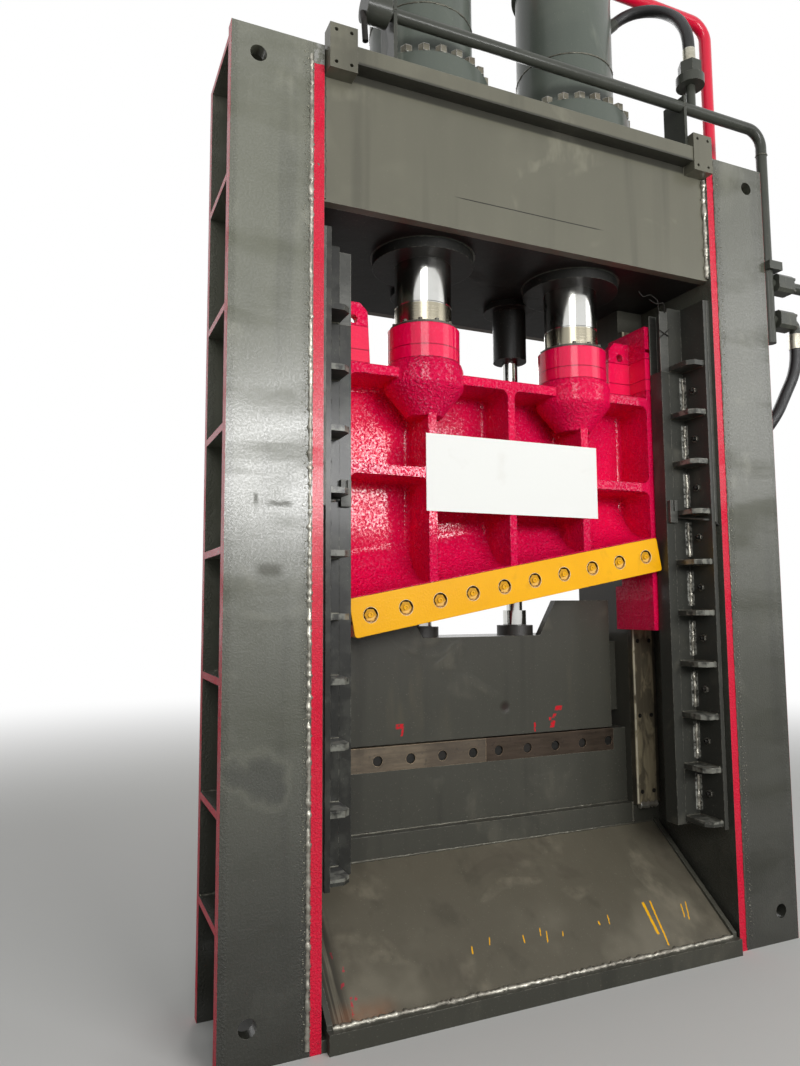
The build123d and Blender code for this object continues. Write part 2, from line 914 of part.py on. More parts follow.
def slide_lug():
    # A plate that widens to its foot, with a sloping shoulder over the hole.
    inner = pocket_half_width - lug_width
    front = slide_front + lug_setback
    foot = top_shelf_height - shelf_thickness
    top = top_shelf_height + lug_height
    lug = profile_along_y([(pocket_half_width, foot), (inner - lug_foot_spread, foot),
                           (inner, top - lug_shoulder), (inner + lug_shoulder, top),
                           (pocket_half_width, top)], front, front + lug_thickness)
    shoulder = lug.edges().filter_by(Axis.Y).sort_by(Axis.X)[1:3]
    lug = fillet(shoulder, lug_corner_radius)
    hole_x = pocket_half_width - lug_hole_inset
    return lug - bar_along_y(hole_x, top - 2 * lug_hole_diameter, front - 1,
                             front + lug_thickness + 1, lug_hole_diameter)


def slide_casting():
    foot = bar_height / 2 - seat_gap
    blank = block(-slide_half_width, slide_half_width, slide_front, slide_rear,
                  slide_foot - 100, top_shelf_height)
    blank -= slope_bar(slide_front - 1, slide_rear + 1, -slide_height, -foot, opening_width)
    for cut in slide_pockets():
        blank -= cut
    for piece in both_sides(boss()) + both_sides(slide_side()) + both_sides(slide_lug()):
        blank += piece
    rebate_front = upper_blade_rear - upper_blade_thickness
    blade_low = -bar_height / 2 - blade_overhang
    blank -= slope_bar(rebate_front, slide_rear + 10, blade_low - 50,
                       blade_low + upper_blade_height, slide_half_width / cos(slope) + 50)
    for x in (-cylinder_x, cylinder_x):
        blank -= post(x, cylinder_offset, boss_top - socket_depth, boss_top + 1,
                      rod_diameter + 2 * running_gap)
    for distance in bolt_row:
        x, z = slope_point(distance)
        blank -= bar_along_y(x, z, slide_front - 1, slide_rear + 1,
                             bolt_diameter + 2 * bolt_clearance)
    return blank


def blade_holes(piece, front, rear):
    for distance in bolt_row:
        x, z = slope_point(distance)
        piece -= bar_along_y(x, z, front - 1, rear + 1, bolt_diameter + 2 * bolt_clearance)
    return piece


def upper_blade():
    front = upper_blade_rear - upper_blade_thickness
    low = -bar_height / 2 - blade_overhang
    half = (slide_half_width - 12) / cos(slope)
    blade = slope_bar(front, upper_blade_rear, low, low + upper_blade_height, half)
    return blade_holes(blade, front, upper_blade_rear - 12)


def blade_backing_bar():
    bar = slope_bar(bar_front, slide_front, -bar_height / 2, bar_height / 2, bar_half_length)
    corners = bar.edges().filter_by(Axis.Y)
    bar = fillet(corners, bar_corner_radius)
    bar = blade_holes(bar, bar_front, slide_front)
    for distance in bolt_row:
        x, z = slope_point(distance)
        bar -= bar_along_y(x, z, bar_front - 1, bar_front + counterbore_depth,
                           counterbore_diameter)
    return bar


def blade_bolts():
    # Hexagon heads in the bar's counterbores, shanks through the slide into the blade.
    seat = bar_front + counterbore_depth
    bolts = []
    for distance in bolt_row:
        x, z = slope_point(distance)
        head = Pos(x, seat - 20, z) * Rot(-90, 0, 0) * extrude(
            RegularPolygon(head_diameter_blade / 2, 6, major_radius=False), 20)
        bolts.append(head + bar_along_y(x, z, seat, upper_blade_rear - 12, bolt_diameter))
    return bolts


def sign_plate():
    return block(sign_centre - sign_width / 2, sign_centre + sign_width / 2,
                 slide_front - sign_thickness, slide_front, sign_bottom,
                 sign_bottom + sign_height)


# Hold-down

def hold_down_beam():
    half = hold_down_half_width
    low = hold_down_bottom
    high = low + hold_down_height
    recess = high - hold_down_recess
    rear = hold_down_front + hold_down_depth
    outline = [(-half, low), (half, low), (half, high),
               (recess_half_width + recess_slope, high), (recess_half_width, recess),
               (-recess_half_width, recess), (-recess_half_width - recess_slope, high),
               (-half, high)]
    beam = profile_along_y(outline, hold_down_front, hold_down_front + hold_down_plate)
    beam += block(-half, half, hold_down_front, rear, low, low + hold_down_plate)
    beam += block(-half, half, hold_down_front, rear, recess - hold_down_plate, recess)
    ends = half - hold_down_rib / 2
    for x in (-ends, -hold_down_x, 0, hold_down_x, ends):
        beam += block(x - hold_down_rib / 2, x + hold_down_rib / 2, hold_down_front, rear, low,
                      recess)
    return beam


def hold_down_rod():
    # Rod, piston and the coupling flange that is bolted to the beam.
    seat = hold_down_bottom + hold_down_height - hold_down_recess
    rod = hold_down_rod_diameter / 2
    neck = seat + coupling_height + coupling_neck_height
    piston_bottom = hold_down_barrel_bottom + hold_down_piston + running_gap
    piston = hold_down_bore / 2 - running_gap
    return turned(hold_down_x, hold_down_offset, [
        (0, seat), (coupling_diameter / 2, seat), (coupling_diameter / 2, seat + coupling_height),
        (coupling_neck_diameter / 2, seat + coupling_height), (coupling_neck_diameter / 2, neck),
        (rod, neck), (rod, piston_bottom), (piston, piston_bottom),
        (piston, piston_bottom + hold_down_piston), (0, piston_bottom + hold_down_piston)])


def hold_down_shoe():
    top = hold_down_bottom + hold_down_height - hold_down_recess - shoe_drop
    front = hold_down_front + (hold_down_depth - shoe_depth) / 2
    return block(hold_down_half_width, guide_inner - running_gap, front, front + shoe_depth,
                 top - shoe_height, top)


# Pipes and hoses

def tube_along(points, bends, diameter):
    path = FilletPolyline(*points, radius=bends)
    section = Plane(origin=path @ 0, z_dir=path % 0) * Circle(diameter / 2)
    return sweep(section, path=path)


def hose(name, points):
    # A free hose: each bend is as wide as its two straight runs allow.
    corners = [Vector(*point) for point in points]
    bends = []
    for before, here, after in zip(corners, corners[1:], corners[2:]):
        turn = radians((here - before).get_angle(after - here))
        run = min((here - before).length, (after - here).length)
        bends.append(0.45 * run / tan(turn / 2))
    tube = tube_along(points, bends, hose_diameter)
    length = FilletPolyline(*points, radius=bends).length
    share = tube.volume / (length * 3.14159265 * hose_diameter ** 2 / 4)
    print(name, "bend radii", [round(bend) for bend in bends], "length", round(length),
          "volume share", round(share, 4))
    return tube


def pressure_pipe():
    # Along the front of the beam, round the column's top corner and down its outer edge.
    route = [(pipe_left_end, pipe_axis_front, pipe_axis_height),
             (pipe_drop_side, pipe_axis_front, pipe_axis_height),
             (pipe_drop_side, pipe_axis_front, pipe_foot_height)]
    pipe = tube_along(route, [pipe_bend_radius], pipe_diameter)
    for x in (left_stub, right_stub):
        pipe += post(x, pipe_axis_front, pipe_axis_height, pipe_axis_height + stub_height,
                     stub_diameter)
    cap_end = pipe_left_end + end_cap_length
    return pipe + bar_along_x(pipe_axis_front, pipe_axis_height, pipe_left_end, cap_end,
                              end_cap_diameter)


def pipe_brackets():
    # Two plates on the beam and a clamp block on the column's outer edge.
    hole = pipe_diameter + 2 * running_gap
    brackets = []
    for x in (bracket_left, bracket_right):
        plate = block(x - bracket_plate / 2, x + bracket_plate / 2, bracket_front_edge,
                      bracket_rear_edge, column_height, pipe_axis_height + bracket_above_axis)
        brackets.append(plate - bar_along_x(pipe_axis_front, pipe_axis_height, x - 50, x + 50,
                                            hole))
    low = pipe_foot_height + clamp_lift
    clamp = block(column_outer, column_outer + clamp_length, pipe_axis_front - clamp_width / 2,
                  pipe_axis_front + clamp_width / 2, low, low + clamp_height)
    brackets.append(clamp - post(pipe_drop_side, pipe_axis_front, 0, column_height, hole))
    return brackets


def branch_heights():
    return (pipe_foot_height - upper_branch_drop, pipe_foot_height - lower_branch_drop)


def manifold():
    top = pipe_foot_height
    body = post(pipe_drop_side, pipe_axis_front, top - manifold_height, top, manifold_diameter)
    for z in branch_heights():
        body += bar_along_x(pipe_axis_front, z, pipe_drop_side, pipe_drop_side + branch_reach,
                            branch_diameter)
    return body


def branch_flanges():
    # Each joint has a flange on the branch and a thicker collar, held by four screws.
    flanges = []
    joint = pipe_drop_side + branch_reach
    half = branch_flange_size / 2
    y = pipe_axis_front
    for z in branch_heights():
        flange = block(joint - branch_flange_thickness, joint, y - half, y + half, z - half,
                       z + half)
        collar = block(joint, joint + branch_collar_thickness, y - half, y + half, z - half,
                       z + half)
        flange = chamfer(flange.edges().filter_by(Axis.X), 14)
        collar = chamfer(collar.edges().filter_by(Axis.X), 14)
        flanges.append(flange - bar_along_x(y, z, 0, 2 * joint,
                                            branch_diameter + 2 * running_gap))
        flanges.append(collar - bar_along_x(y, z, 0, 2 * joint,
                                            branch_fitting_diameter + 2 * running_gap))
    return flanges


def branch_screws():
    screws = []
    face = pipe_drop_side + branch_reach + branch_collar_thickness
    inset = branch_flange_size / 2 - branch_screw_inset
    for z in branch_heights():
        for dy in (-inset, inset):
            for dz in (-inset, inset):
                screws.append(bar_along_x(pipe_axis_front + dy, z + dz, face, face + branch_screw_head,
                                           branch_screw_diameter))
    return screws


def branch_fittings():
    # The upper branch ends in an open port, the lower one in an elbow that points down.
    joint = pipe_drop_side + branch_reach
    upper, lower = branch_heights()
    y = pipe_axis_front
    port = bar_along_x(y, upper, joint, joint + branch_port_reach, branch_fitting_diameter)
    port -= bar_along_x(y, upper, joint + 20, joint + branch_port_reach + 1,
                        branch_port_diameter)
    turn = branch_collar_thickness + branch_elbow_radius + 4
    elbow = tube_along([(joint, y, lower), (joint + turn, y, lower),
                        (joint + turn, y, lower - branch_elbow_radius - branch_elbow_tail)],
                       [branch_elbow_radius], branch_fitting_diameter)
    return [port, elbow]


def branch_hose_start():
    turn = branch_reach + branch_collar_thickness + branch_elbow_radius + 4
    low = branch_heights()[1] - branch_elbow_radius - branch_elbow_tail
    return pipe_drop_side + turn, pipe_axis_front, low


def stub_top():
    return pipe_axis_height + stub_height


def hose_nuts():
    nuts = []
    for x in (left_stub, right_stub):
        ring = post(x, pipe_axis_front, stub_top(), stub_top() + nut_flange_height,
                    nut_flange_diameter)
        nuts.append(ring + hexagon(x, pipe_axis_front, stub_top() + nut_flange_height,
                                   stub_top() + nut_height, nut_across))
    return nuts


def hose_ferrules():
    base = stub_top() + nut_height
    ferrules = [post(x, pipe_axis_front, base, base + ferrule_height, ferrule_diameter + 6)
                for x in (left_stub, right_stub)]
    x, y, z = branch_hose_start()
    ferrules.append(post(x, y, z - ferrule_height, z, ferrule_diameter + 8))
    ferrules.append(bar_along_y(bulkhead_side, bulkhead_height,
                                rear_plate_front - bulkhead_length, rear_plate_front,
                                ferrule_diameter + 8))
    return ferrules


def spout_direction():
    tilt = radians(port_tilt)
    swing = radians(port_swing)
    return Vector(cos(tilt) * cos(swing), -cos(tilt) * sin(swing), sin(tilt))


def spout_root():
    return Vector(cylinder_x + barrel_diameter / 2 + port_boss_reach, cylinder_offset,
                  port_height)


def port_elbow():
    # A boss on the barrel's side and a tilted spout for the hose.
    surface = cylinder_x + barrel_diameter / 2
    fitting = bar_along_x(cylinder_offset, port_height, surface - 60,
                          surface + port_boss_reach + 14, ferrule_diameter + 18)
    fitting -= post(cylinder_x, cylinder_offset, 0, barrel_top + 1, barrel_diameter)
    spout = Plane(origin=spout_root(), z_dir=spout_direction()) * Circle(
        ferrule_diameter / 2 + 4)
    return fitting + extrude(spout, port_spout_length, dir=spout_direction())


def spout_end(side, beyond=0):
    tip = spout_root() + spout_direction() * (port_spout_length + beyond)
    return side * tip.X, tip.Y, tip.Z


def routed(start, steps):
    # Points of a hose as steps from its start.
    return [tuple(a + b for a, b in zip(start, step)) for step in steps]


def top_hose(name, side, stub, steps, last_run):
    # From the ferrule over the stub in an arch to the spout on the barrel.
    start = (stub, pipe_axis_front, stub_top() + nut_height + ferrule_height)
    points = routed(start, steps)
    return hose(name, [start] + points + [spout_end(side, last_run), spout_end(side)])


def right_hose():
    steps = [(0, 0, 65), (5, 40, 165), (3, 100, 248), (-30, 165, 309), (-90, 234, 335)]
    return top_hose("right hose", 1, right_stub, steps, 46)


def left_hose():
    steps = [(0, 0, 86), (-31, 30, 196), (-54, 96, 280), (-50, 176, 325), (-24, 243, 332)]
    return top_hose("left hose", -1, left_stub, steps, 40)


def branch_hose():
    # Down behind the column's front plate to a socket on the rear plate.
    x, y, z = branch_hose_start()
    start = (x, y, z - ferrule_height)
    steps = [(0, 0, -92), (-58, 30, -233), (-107, 32, -318), (-164, 68, -413)]
    end = rear_plate_front - bulkhead_length
    return hose("branch hose", [start] + routed(start, steps) + [
        (bulkhead_side + 30, end - 160, bulkhead_height + 35),
        (bulkhead_side, end - 64, bulkhead_height), (bulkhead_side, end, bulkhead_height)])


def return_pipes():
    # Up through the cap of the right column and over to the cylinder head, with a link
    # from one head to the other.
    foot = column_rib_heights()[-2]
    flat = cylinder_x + barrel_diameter / 2
    route = [(return_pipe_side, return_pipe_offset, foot),
             (return_pipe_side, return_pipe_offset, return_pipe_height),
             (flat, return_pipe_offset, return_pipe_height)]
    pipe = tube_along(route, [return_bend_radius], return_pipe_diameter)
    pipe += post(return_pipe_side, return_pipe_offset, foot, foot + foot_flange_thickness,
                 foot_flange_diameter)
    inner = cylinder_x - barrel_diameter / 2
    link = bar_along_x(cylinder_offset, return_pipe_height, -inner, inner,
                       return_pipe_diameter)
    return [pipe, link]


def build():
    os.makedirs("parts", exist_ok=True)
    save_pair("front_plate", front_plate())
    save_pair("inner_plate", inner_plate())
    save("rear_plates", both_sides(rear_plate()))
    left_ribs = [mirror(rib, about=Plane.YZ) for rib in column_ribs()]
    save("column_ribs", left_ribs + right_column_ribs())
    save("beam_front_plate", beam_front_plate())
    save("beam_rear_plate", beam_rear_plate())
    save("beam_top_plate", beam_top_plate())
    save("beam_bottom_plate", beam_bottom_plate())
    save("beam_webs", beam_webs())
    save("keeper_blocks", both_sides(keeper_block()))
    save("guide_columns", both_sides(guide_column()))
    save("rear_liners", both_sides(rear_liner()))
    save("guide_pads", both_sides(guide_pad()))
    save("gib_brackets", both_sides(gib_bracket()))
    save("gib_bars", both_sides(gib_bar()))
    save("gib_end_channels", both_sides(gib_end_channel()))
    body, tube = oiler()
    save("oilers", both_sides(body) + both_sides(tube))
    save("blade_seat", bed_blade_seat())
    save("bed_table_plate", bed_table_plate())
    save("bed_rear_plate", bed_rear_plate())
    save("bed_ribs", bed_ribs())
    save("base_plate", base_plate())
    save_pair("lower_blade", lower_blade())
    save("lower_blade_bolts", lower_blade_bolts())
    save("chute_plate", chute_plate())
    save("chute_frame", chute_frame())
    save_pair("main_barrel", main_barrel())
    save("main_glands", both_sides(main_gland()))
    save("cylinder_heads", both_sides(cylinder_head()))
    studs = main_cylinder_studs()
    save("barrel_studs", [mirror(stud, about=Plane.YZ) for stud in studs] + studs)
    save("hold_down_barrels", both_sides(hold_down_barrel()))
    save("pressure_pipe", pressure_pipe())
    save("pipe_brackets", pipe_brackets())
    save("manifold", manifold())
    save("branch_flanges", branch_flanges())
    save("branch_screws", branch_screws())
    save("hose_nuts", hose_nuts())
    save("hose_ferrules", hose_ferrules())
    save("hose_fittings", both_sides(port_elbow()) + branch_fittings())
    save("left_hose", left_hose())
    save("right_hose", right_hose())
    save("branch_hose", branch_hose())
    save("return_pipes", return_pipes())
    save("slide_casting", slide_casting())
    save_pair("piston_rod", piston_rod())
    save("rod_clamp_rings", both_sides(rod_clamp_ring()))
    bolts = rod_clamp_bolts()
    save("rod_clamp_bolts", [mirror(bolt, about=Plane.YZ) for bolt in bolts] + bolts)
    save("upper_blade", upper_blade())
    save("blade_backing_bar", blade_backing_bar())
    save("blade_bolts", blade_bolts())
    save("sign_plate", sign_plate())
    save("hold_down_beam", hold_down_beam())
    save("hold_down_shoes", both_sides(hold_down_shoe()))
    save("hold_down_rods", both_sides(hold_down_rod()))


build()
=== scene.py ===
import math

import bpy
from mathutils import Matrix, Vector


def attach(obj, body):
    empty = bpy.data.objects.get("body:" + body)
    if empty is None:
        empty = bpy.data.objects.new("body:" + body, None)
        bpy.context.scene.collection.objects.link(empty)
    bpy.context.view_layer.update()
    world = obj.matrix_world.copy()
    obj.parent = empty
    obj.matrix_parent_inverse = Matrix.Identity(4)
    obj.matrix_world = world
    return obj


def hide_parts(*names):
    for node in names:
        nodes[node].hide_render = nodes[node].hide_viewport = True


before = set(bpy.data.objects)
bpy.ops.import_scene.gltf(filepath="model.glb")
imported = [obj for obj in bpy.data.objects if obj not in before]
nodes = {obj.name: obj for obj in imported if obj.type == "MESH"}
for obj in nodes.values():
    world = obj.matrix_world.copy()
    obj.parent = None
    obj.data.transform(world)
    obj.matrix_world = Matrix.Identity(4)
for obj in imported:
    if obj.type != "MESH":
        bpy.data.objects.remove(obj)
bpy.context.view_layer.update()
scene = bpy.context.scene
print("frame loaded:", len(nodes), "nodes")


# Helpers for node trees

class Wire:
    # A socket that can stand in a sum; every operation adds one Math node to its tree.
    def __init__(self, owner, socket):
        self.owner = owner
        self.socket = socket

    def math(self, operation, first, second=0.0):
        return self.owner.add("ShaderNodeMath", {"operation": operation}, {0: first, 1: second})

    def __add__(self, other):
        return self.math("ADD", self, other)

    def __radd__(self, other):
        return self.math("ADD", other, self)

    def __sub__(self, other):
        return self.math("SUBTRACT", self, other)

    def __rsub__(self, other):
        return self.math("SUBTRACT", other, self)

    def __mul__(self, other):
        return self.math("MULTIPLY", self, other)

    def __rmul__(self, other):
        return self.math("MULTIPLY", other, self)

    def __truediv__(self, other):
        return self.math("DIVIDE", self, other)

    def __gt__(self, other):
        return self.math("GREATER_THAN", self, other)

    def __lt__(self, other):
        return self.math("LESS_THAN", self, other)

    def __abs__(self):
        return self.math("ABSOLUTE", self)

    def highest(self, other):
        return self.math("MAXIMUM", self, other)

    def lowest(self, other):
        return self.math("MINIMUM", self, other)


class Tree:
    # A node tree being built: add() takes a node's type, its settings and its sockets.
    def __init__(self, tree, family):
        self.tree = tree
        self.family = family

    def add(self, kind, settings=None, sockets=None, out=0):
        made = self.tree.nodes.new(kind if "Node" in kind else self.family + kind)
        for key, value in (settings or {}).items():
            setattr(made, key, value)
        for key, value in (sockets or {}).items():
            if isinstance(value, Wire):
                self.tree.links.new(value.socket, made.inputs[key])
            else:
                made.inputs[key].default_value = value
        return Wire(self, made.outputs[out] if made.outputs else None)

    def vector(self, operation, first, second=(0, 0, 0), out="Vector"):
        return self.add("ShaderNodeVectorMath", {"operation": operation},
                        {0: first, 1: second}, out)

    def scaled(self, vector, factor):
        return self.add("ShaderNodeVectorMath", {"operation": "SCALE"},
                        {0: vector, "Scale": factor}, "Vector")


def paint(red, green, blue):
    # Screen colour from 0 to 255 to the linear colour that a shader takes.
    def linear(value):
        share = value / 255
        return share / 12.92 if share <= 0.04045 else ((share + 0.055) / 1.055) ** 2.4
    return (linear(red), linear(green), linear(blue), 1.0)


class Finish(Tree):
    # One material: its node tree, with the few patterns that the finishes below share.
    def __init__(self, name):
        self.material = bpy.data.materials.new(name)
        self.material.use_nodes = True
        super().__init__(self.material.node_tree, "ShaderNode")
        self.tree.nodes.clear()
        self.place = self.add("TexCoord", out="Object")
        self.x = self.add("SeparateXYZ", {}, {"Vector": self.place})
        self.y = Wire(self, self.x.socket.node.outputs["Y"])
        self.z = Wire(self, self.x.socket.node.outputs["Z"])

    def stretched(self, scale, turn=(0, 0, 0)):
        return self.add("Mapping", {}, {"Vector": self.place, "Scale": scale, "Rotation": turn})

    def noise(self, scale, detail=3.0, rough=0.55, vector=None, warp=0.0):
        return self.add("TexNoise", {}, {"Vector": vector or self.place, "Scale": scale,
                                         "Detail": detail, "Roughness": rough,
                                         "Distortion": warp})

    def fade(self, value, none, full):
        # 0 up to one value and 1 past the other, whichever of the two is the larger.
        ends = (0.0, 1.0) if none < full else (1.0, 0.0)
        return self.add("MapRange", {"interpolation_type": "SMOOTHSTEP"},
                        {"Value": value, "From Min": min(none, full),
                         "From Max": max(none, full), "To Min": ends[0], "To Max": ends[1]})

    def between(self, value, low, high, soft):
        # 1 from low to high, with soft ends.
        return (self.fade(value, low - soft, low + soft)
                * self.fade(value, high + soft, high - soft))

    def mix(self, factor, first, second):
        # A Mix node's colours are its inputs 6 and 7 and its output 2.
        return self.add("Mix", {"data_type": "RGBA"}, {"Factor": factor, 6: first, 7: second}, 2)

    def edges(self, radius):
        # 1 on edges and corners, 0 on flat faces, with the rounded normal kept for the shader.
        rounded = self.add("Bevel", {"samples": 4}, {"Radius": radius})
        flat = self.add("NewGeometry", out="Normal")
        straight = self.vector("DOT_PRODUCT", rounded, flat, "Value")
        return self.fade(straight, 0.985, 0.75), rounded

    def bump(self, height, distance, normal=None):
        sockets = {"Height": height, "Distance": distance, "Strength": 1.0}
        if normal is not None:
            sockets["Normal"] = normal
        return self.add("Bump", {}, sockets, out="Normal")

    def close(self, sockets):
        shader = self.add("BsdfPrincipled", {}, sockets)
        self.add("OutputMaterial", {}, {"Surface": shader})
        return self.material


class Recipe(Tree):
    # A Geometry Nodes tree; each size in its dictionary becomes a named input.
    def __init__(self, name, sizes):
        group = bpy.data.node_groups.new(name, "GeometryNodeTree")
        super().__init__(group, "GeometryNode")
        for way in ("INPUT", "OUTPUT"):
            group.interface.new_socket("Geometry", in_out=way, socket_type="NodeSocketGeometry")
        for key, value in sizes.items():
            kind = "NodeSocketInt" if isinstance(value, int) else "NodeSocketFloat"
            group.interface.new_socket(key, in_out="INPUT", socket_type=kind)
        self.entry = group.nodes.new("NodeGroupInput")
        self.start = Wire(self, self.entry.outputs["Geometry"])

    def size(self, key):
        return Wire(self, self.entry.outputs[key])

    def random(self, low, high, seed, kind="FLOAT"):
        slot = 0 if kind == "FLOAT_VECTOR" else 1
        sockets = {0: low, 1: high} if slot == 0 else {2: low, 3: high}
        sockets["Seed"] = seed
        return self.add("FunctionNodeRandomValue", {"data_type": kind}, sockets, slot)

    def attribute(self, name, kind="FLOAT"):
        return self.add("InputNamedAttribute", {"data_type": kind}, {"Name": name})

    def close(self, geometry, material):
        real = self.add("RealizeInstances", {}, {"Geometry": geometry})
        dressed = self.add("SetMaterial", {}, {"Geometry": real, "Material": material})
        leave = self.tree.nodes.new("NodeGroupOutput")
        self.tree.links.new(dressed.socket, leave.inputs["Geometry"])

    def make(self, name, source, sizes, body):
        # Runs the tree on the source, keeps the result as a plain mesh and lets it ride.
        holder = bpy.data.objects.new(name + "Source", source)
        scene.collection.objects.link(holder)
        modifier = holder.modifiers.new("recipe", "NODES")
        modifier.node_group = self.tree
        for item in self.tree.interface.items_tree:
            if item.in_out == "INPUT" and item.name in sizes:
                modifier[item.identifier] = sizes[item.name]
        ready = holder.evaluated_get(bpy.context.evaluated_depsgraph_get())
        mesh = bpy.data.meshes.new_from_object(ready)
        holder.modifiers.clear()
        bpy.data.objects.remove(holder)
        piece = bpy.data.objects.new(name, mesh)
        scene.collection.objects.link(piece)
        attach(piece, body)


def lines(name, paths):
    # A curve that holds every path as a poly line. A path is its radius, its points and, where
    # it is a loop, True.
    curve = bpy.data.curves.new(name, "CURVE")
    curve.dimensions = "3D"
    for radius, points, *closed in paths:
        spline = curve.splines.new("POLY")
        spline.points.add(len(points) - 1)
        for point, place in zip(spline.points, points):
            point.co = (*place, 1)
            point.radius = radius
        spline.use_cyclic_u = bool(closed)
    return curve


def facingPoints(name, places):
    # A mesh of loose points, each with its place, the way that it faces and its size.
    mesh = bpy.data.meshes.new(name)
    mesh.from_pydata([place for place, facing, size in places], [], [])
    way = mesh.attributes.new("facing", "FLOAT_VECTOR", "POINT")
    way.data.foreach_set("vector", [part for place, facing, size in places for part in facing])
    big = mesh.attributes.new("size", "FLOAT", "POINT")
    big.data.foreach_set("value", [size for place, facing, size in places])
    return mesh


def mirrored(paths):
    # The same paths on the other side of the machine as well.
    other = [(radius, [(-x, y, z) for x, y, z in points], *closed)
             for radius, points, *closed in paths]
    return paths + other


def ring(x, y, z, radius, count=40):
    # A level circle of points.
    turns = [2 * math.pi * i / count for i in range(count)]
    return [(x + radius * math.cos(turn), y + radius * math.sin(turn), z) for turn in turns]


# Camera

cameraView = {
    "place": (-1.756, -2.583, 1.450),
    "yaw": 23.59,        # degrees to the right of straight into the frame
    "pitch": 5.35,
    "roll": -0.33,
    "focalPixels": 784.5,
    "picturePixels": 1066,  # height of the picture that the focal length was fitted to
    "sensor": 36,
    "farthest": 200,
}


def setCamera(view):
    yaw, pitch, roll = (math.radians(view[key]) for key in ("yaw", "pitch", "roll"))
    ahead = Vector((math.sin(yaw) * math.cos(pitch), math.cos(yaw) * math.cos(pitch),
                    math.sin(pitch)))
    right = Vector((math.cos(yaw), -math.sin(yaw), 0))
    up = right.cross(ahead)
    right, up = (math.cos(roll) * right + math.sin(roll) * up,
                 math.cos(roll) * up - math.sin(roll) * right)
    data = bpy.data.cameras.new("camera")
    data.sensor_width = view["sensor"]
    data.lens = view["focalPixels"] * view["sensor"] / view["picturePixels"]
    data.clip_end = view["farthest"]
    camera = bpy.data.objects.new("camera", data)
    scene.collection.objects.link(camera)
    turn = Matrix((right, up, -ahead)).transposed().to_4x4()
    camera.matrix_world = Matrix.Translation(view["place"]) @ turn
    scene.camera = camera


setCamera(cameraView)


# Hoses

hoseSizes = {
    "diameter": 0.054,
    "stepsAlong": 12,
    "stepsRound": 5,
    # control points from the nut to the far end, and the lengths of the smooth lines on them
    "left": [(-0.712, 0.012, 4.017), (-0.712, 0.012, 4.103), (-0.743, 0.042, 4.213),
             (-0.766, 0.108, 4.297), (-0.762, 0.188, 4.342), (-0.736, 0.255, 4.349),
             (-0.7003, 0.2956, 4.3289), (-0.6724, 0.30575, 4.30215)],
    "right": [(0.856, 0.012, 4.017), (0.856, 0.012, 4.082), (0.861, 0.052, 4.182),
              (0.859, 0.112, 4.265), (0.826, 0.177, 4.326), (0.766, 0.246, 4.352),
              (0.7045, 0.2941, 4.3329), (0.6724, 0.30575, 4.30215)],
    "branch": [(1.451, 0.012, 2.664), (1.451, 0.012, 2.572), (1.393, 0.042, 2.431),
               (1.344, 0.044, 2.346), (1.287, 0.080, 2.251), (1.235, 0.153, 2.185),
               (1.205, 0.249, 2.150), (1.205, 0.313, 2.150)],
    "lengths": {"left": 0.568, "right": 0.585, "branch": 0.738},
}


def rubber():
    # Rubber cover with a fine cloth pattern and a little dust.
    f = Finish("hoseRubber")
    weave = f.noise(900, 2)
    dust = f.fade(f.noise(14, 4), 0.5, 0.75)
    colour = f.mix(dust * 0.4, paint(22, 22, 23), paint(54, 53, 51))
    rings = f.noise(60, 2, vector=f.stretched((1, 1, 3)))
    return f.close({"Base Color": colour, "Roughness": 0.4 + 0.2 * dust,
                    "Normal": f.bump(weave + 0.6 * rings, 0.0006)})


def layHose(name, sizes, finish):
    curve = bpy.data.curves.new(name + "HoseLine", "CURVE")
    curve.dimensions = "3D"
    spline = curve.splines.new("NURBS")
    points = sizes[name]
    spline.points.add(len(points) - 1)
    for point, place in zip(spline.points, points):
        point.co = (*place, 1)
    spline.order_u = 3
    spline.use_endpoint_u = True
    spline.resolution_u = sizes["stepsAlong"]
    curve.bevel_depth = sizes["diameter"] / 2
    curve.bevel_resolution = sizes["stepsRound"]
    curve.use_fill_caps = True
    curve.materials.append(finish)
    hose = bpy.data.objects.new(name + "HoseTube", curve)
    scene.collection.objects.link(hose)
    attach(hose, "frame")
    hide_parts(name + "_hose")


hoseFinish = rubber()
for side in ("left", "right", "branch"):
    layHose(side, hoseSizes, hoseFinish)
print("camera and hoses placed")


# Finishes

greys = {
    # body, worn body, touched-up patches, runs, how much the paint darkens towards the bottom
    # (shop dirt and painted shade), height where that darkening ends
    "column": ((90, 92, 80), (116, 117, 102), (146, 146, 131), (58, 59, 52), 0.85, 2.7),
    "beam": ((92, 91, 79), (112, 110, 96), (136, 134, 117), (66, 65, 57), 0.0, 1.0),
    # the next three are darker copies of the frame's grey, as painted shade: for the parts inside
    # the machine, for the guide brackets and for the underside of the beam
    "inner": ((60, 60, 54), (77, 76, 67), (98, 95, 83), (42, 42, 38), 0.35, 1.6),
    "shadedGuide": ((48, 49, 46), (63, 63, 57), (94, 92, 82), (32, 32, 30), 0.2, 1.2),
    "soffit": ((24, 24, 23), (36, 36, 33), (48, 47, 43), (18, 18, 17), 0.0, 1.0),
    "barrel": ((76, 83, 77), (102, 108, 99), (124, 128, 117), (56, 61, 57), 0.0, 1.0),
    "pipe": ((50, 52, 47), (74, 76, 68), (100, 101, 90), (34, 35, 32), 0.0, 1.0),
    "chute": ((79, 75, 63), (100, 95, 82), (126, 119, 103), (60, 57, 48), 0.0, 1.0),
}
onGrey = {"dirtAndShade": (54, 54, 49), "speck": (150, 148, 132), "chip": (160, 157, 144),
          "crimson": (206, 2, 44), "brightCrimson": (230, 8, 60)}
plainSheen = {"inner": 0.3, "soffit": 0.06, "barrel": 0.3, "pipe": 0.3}


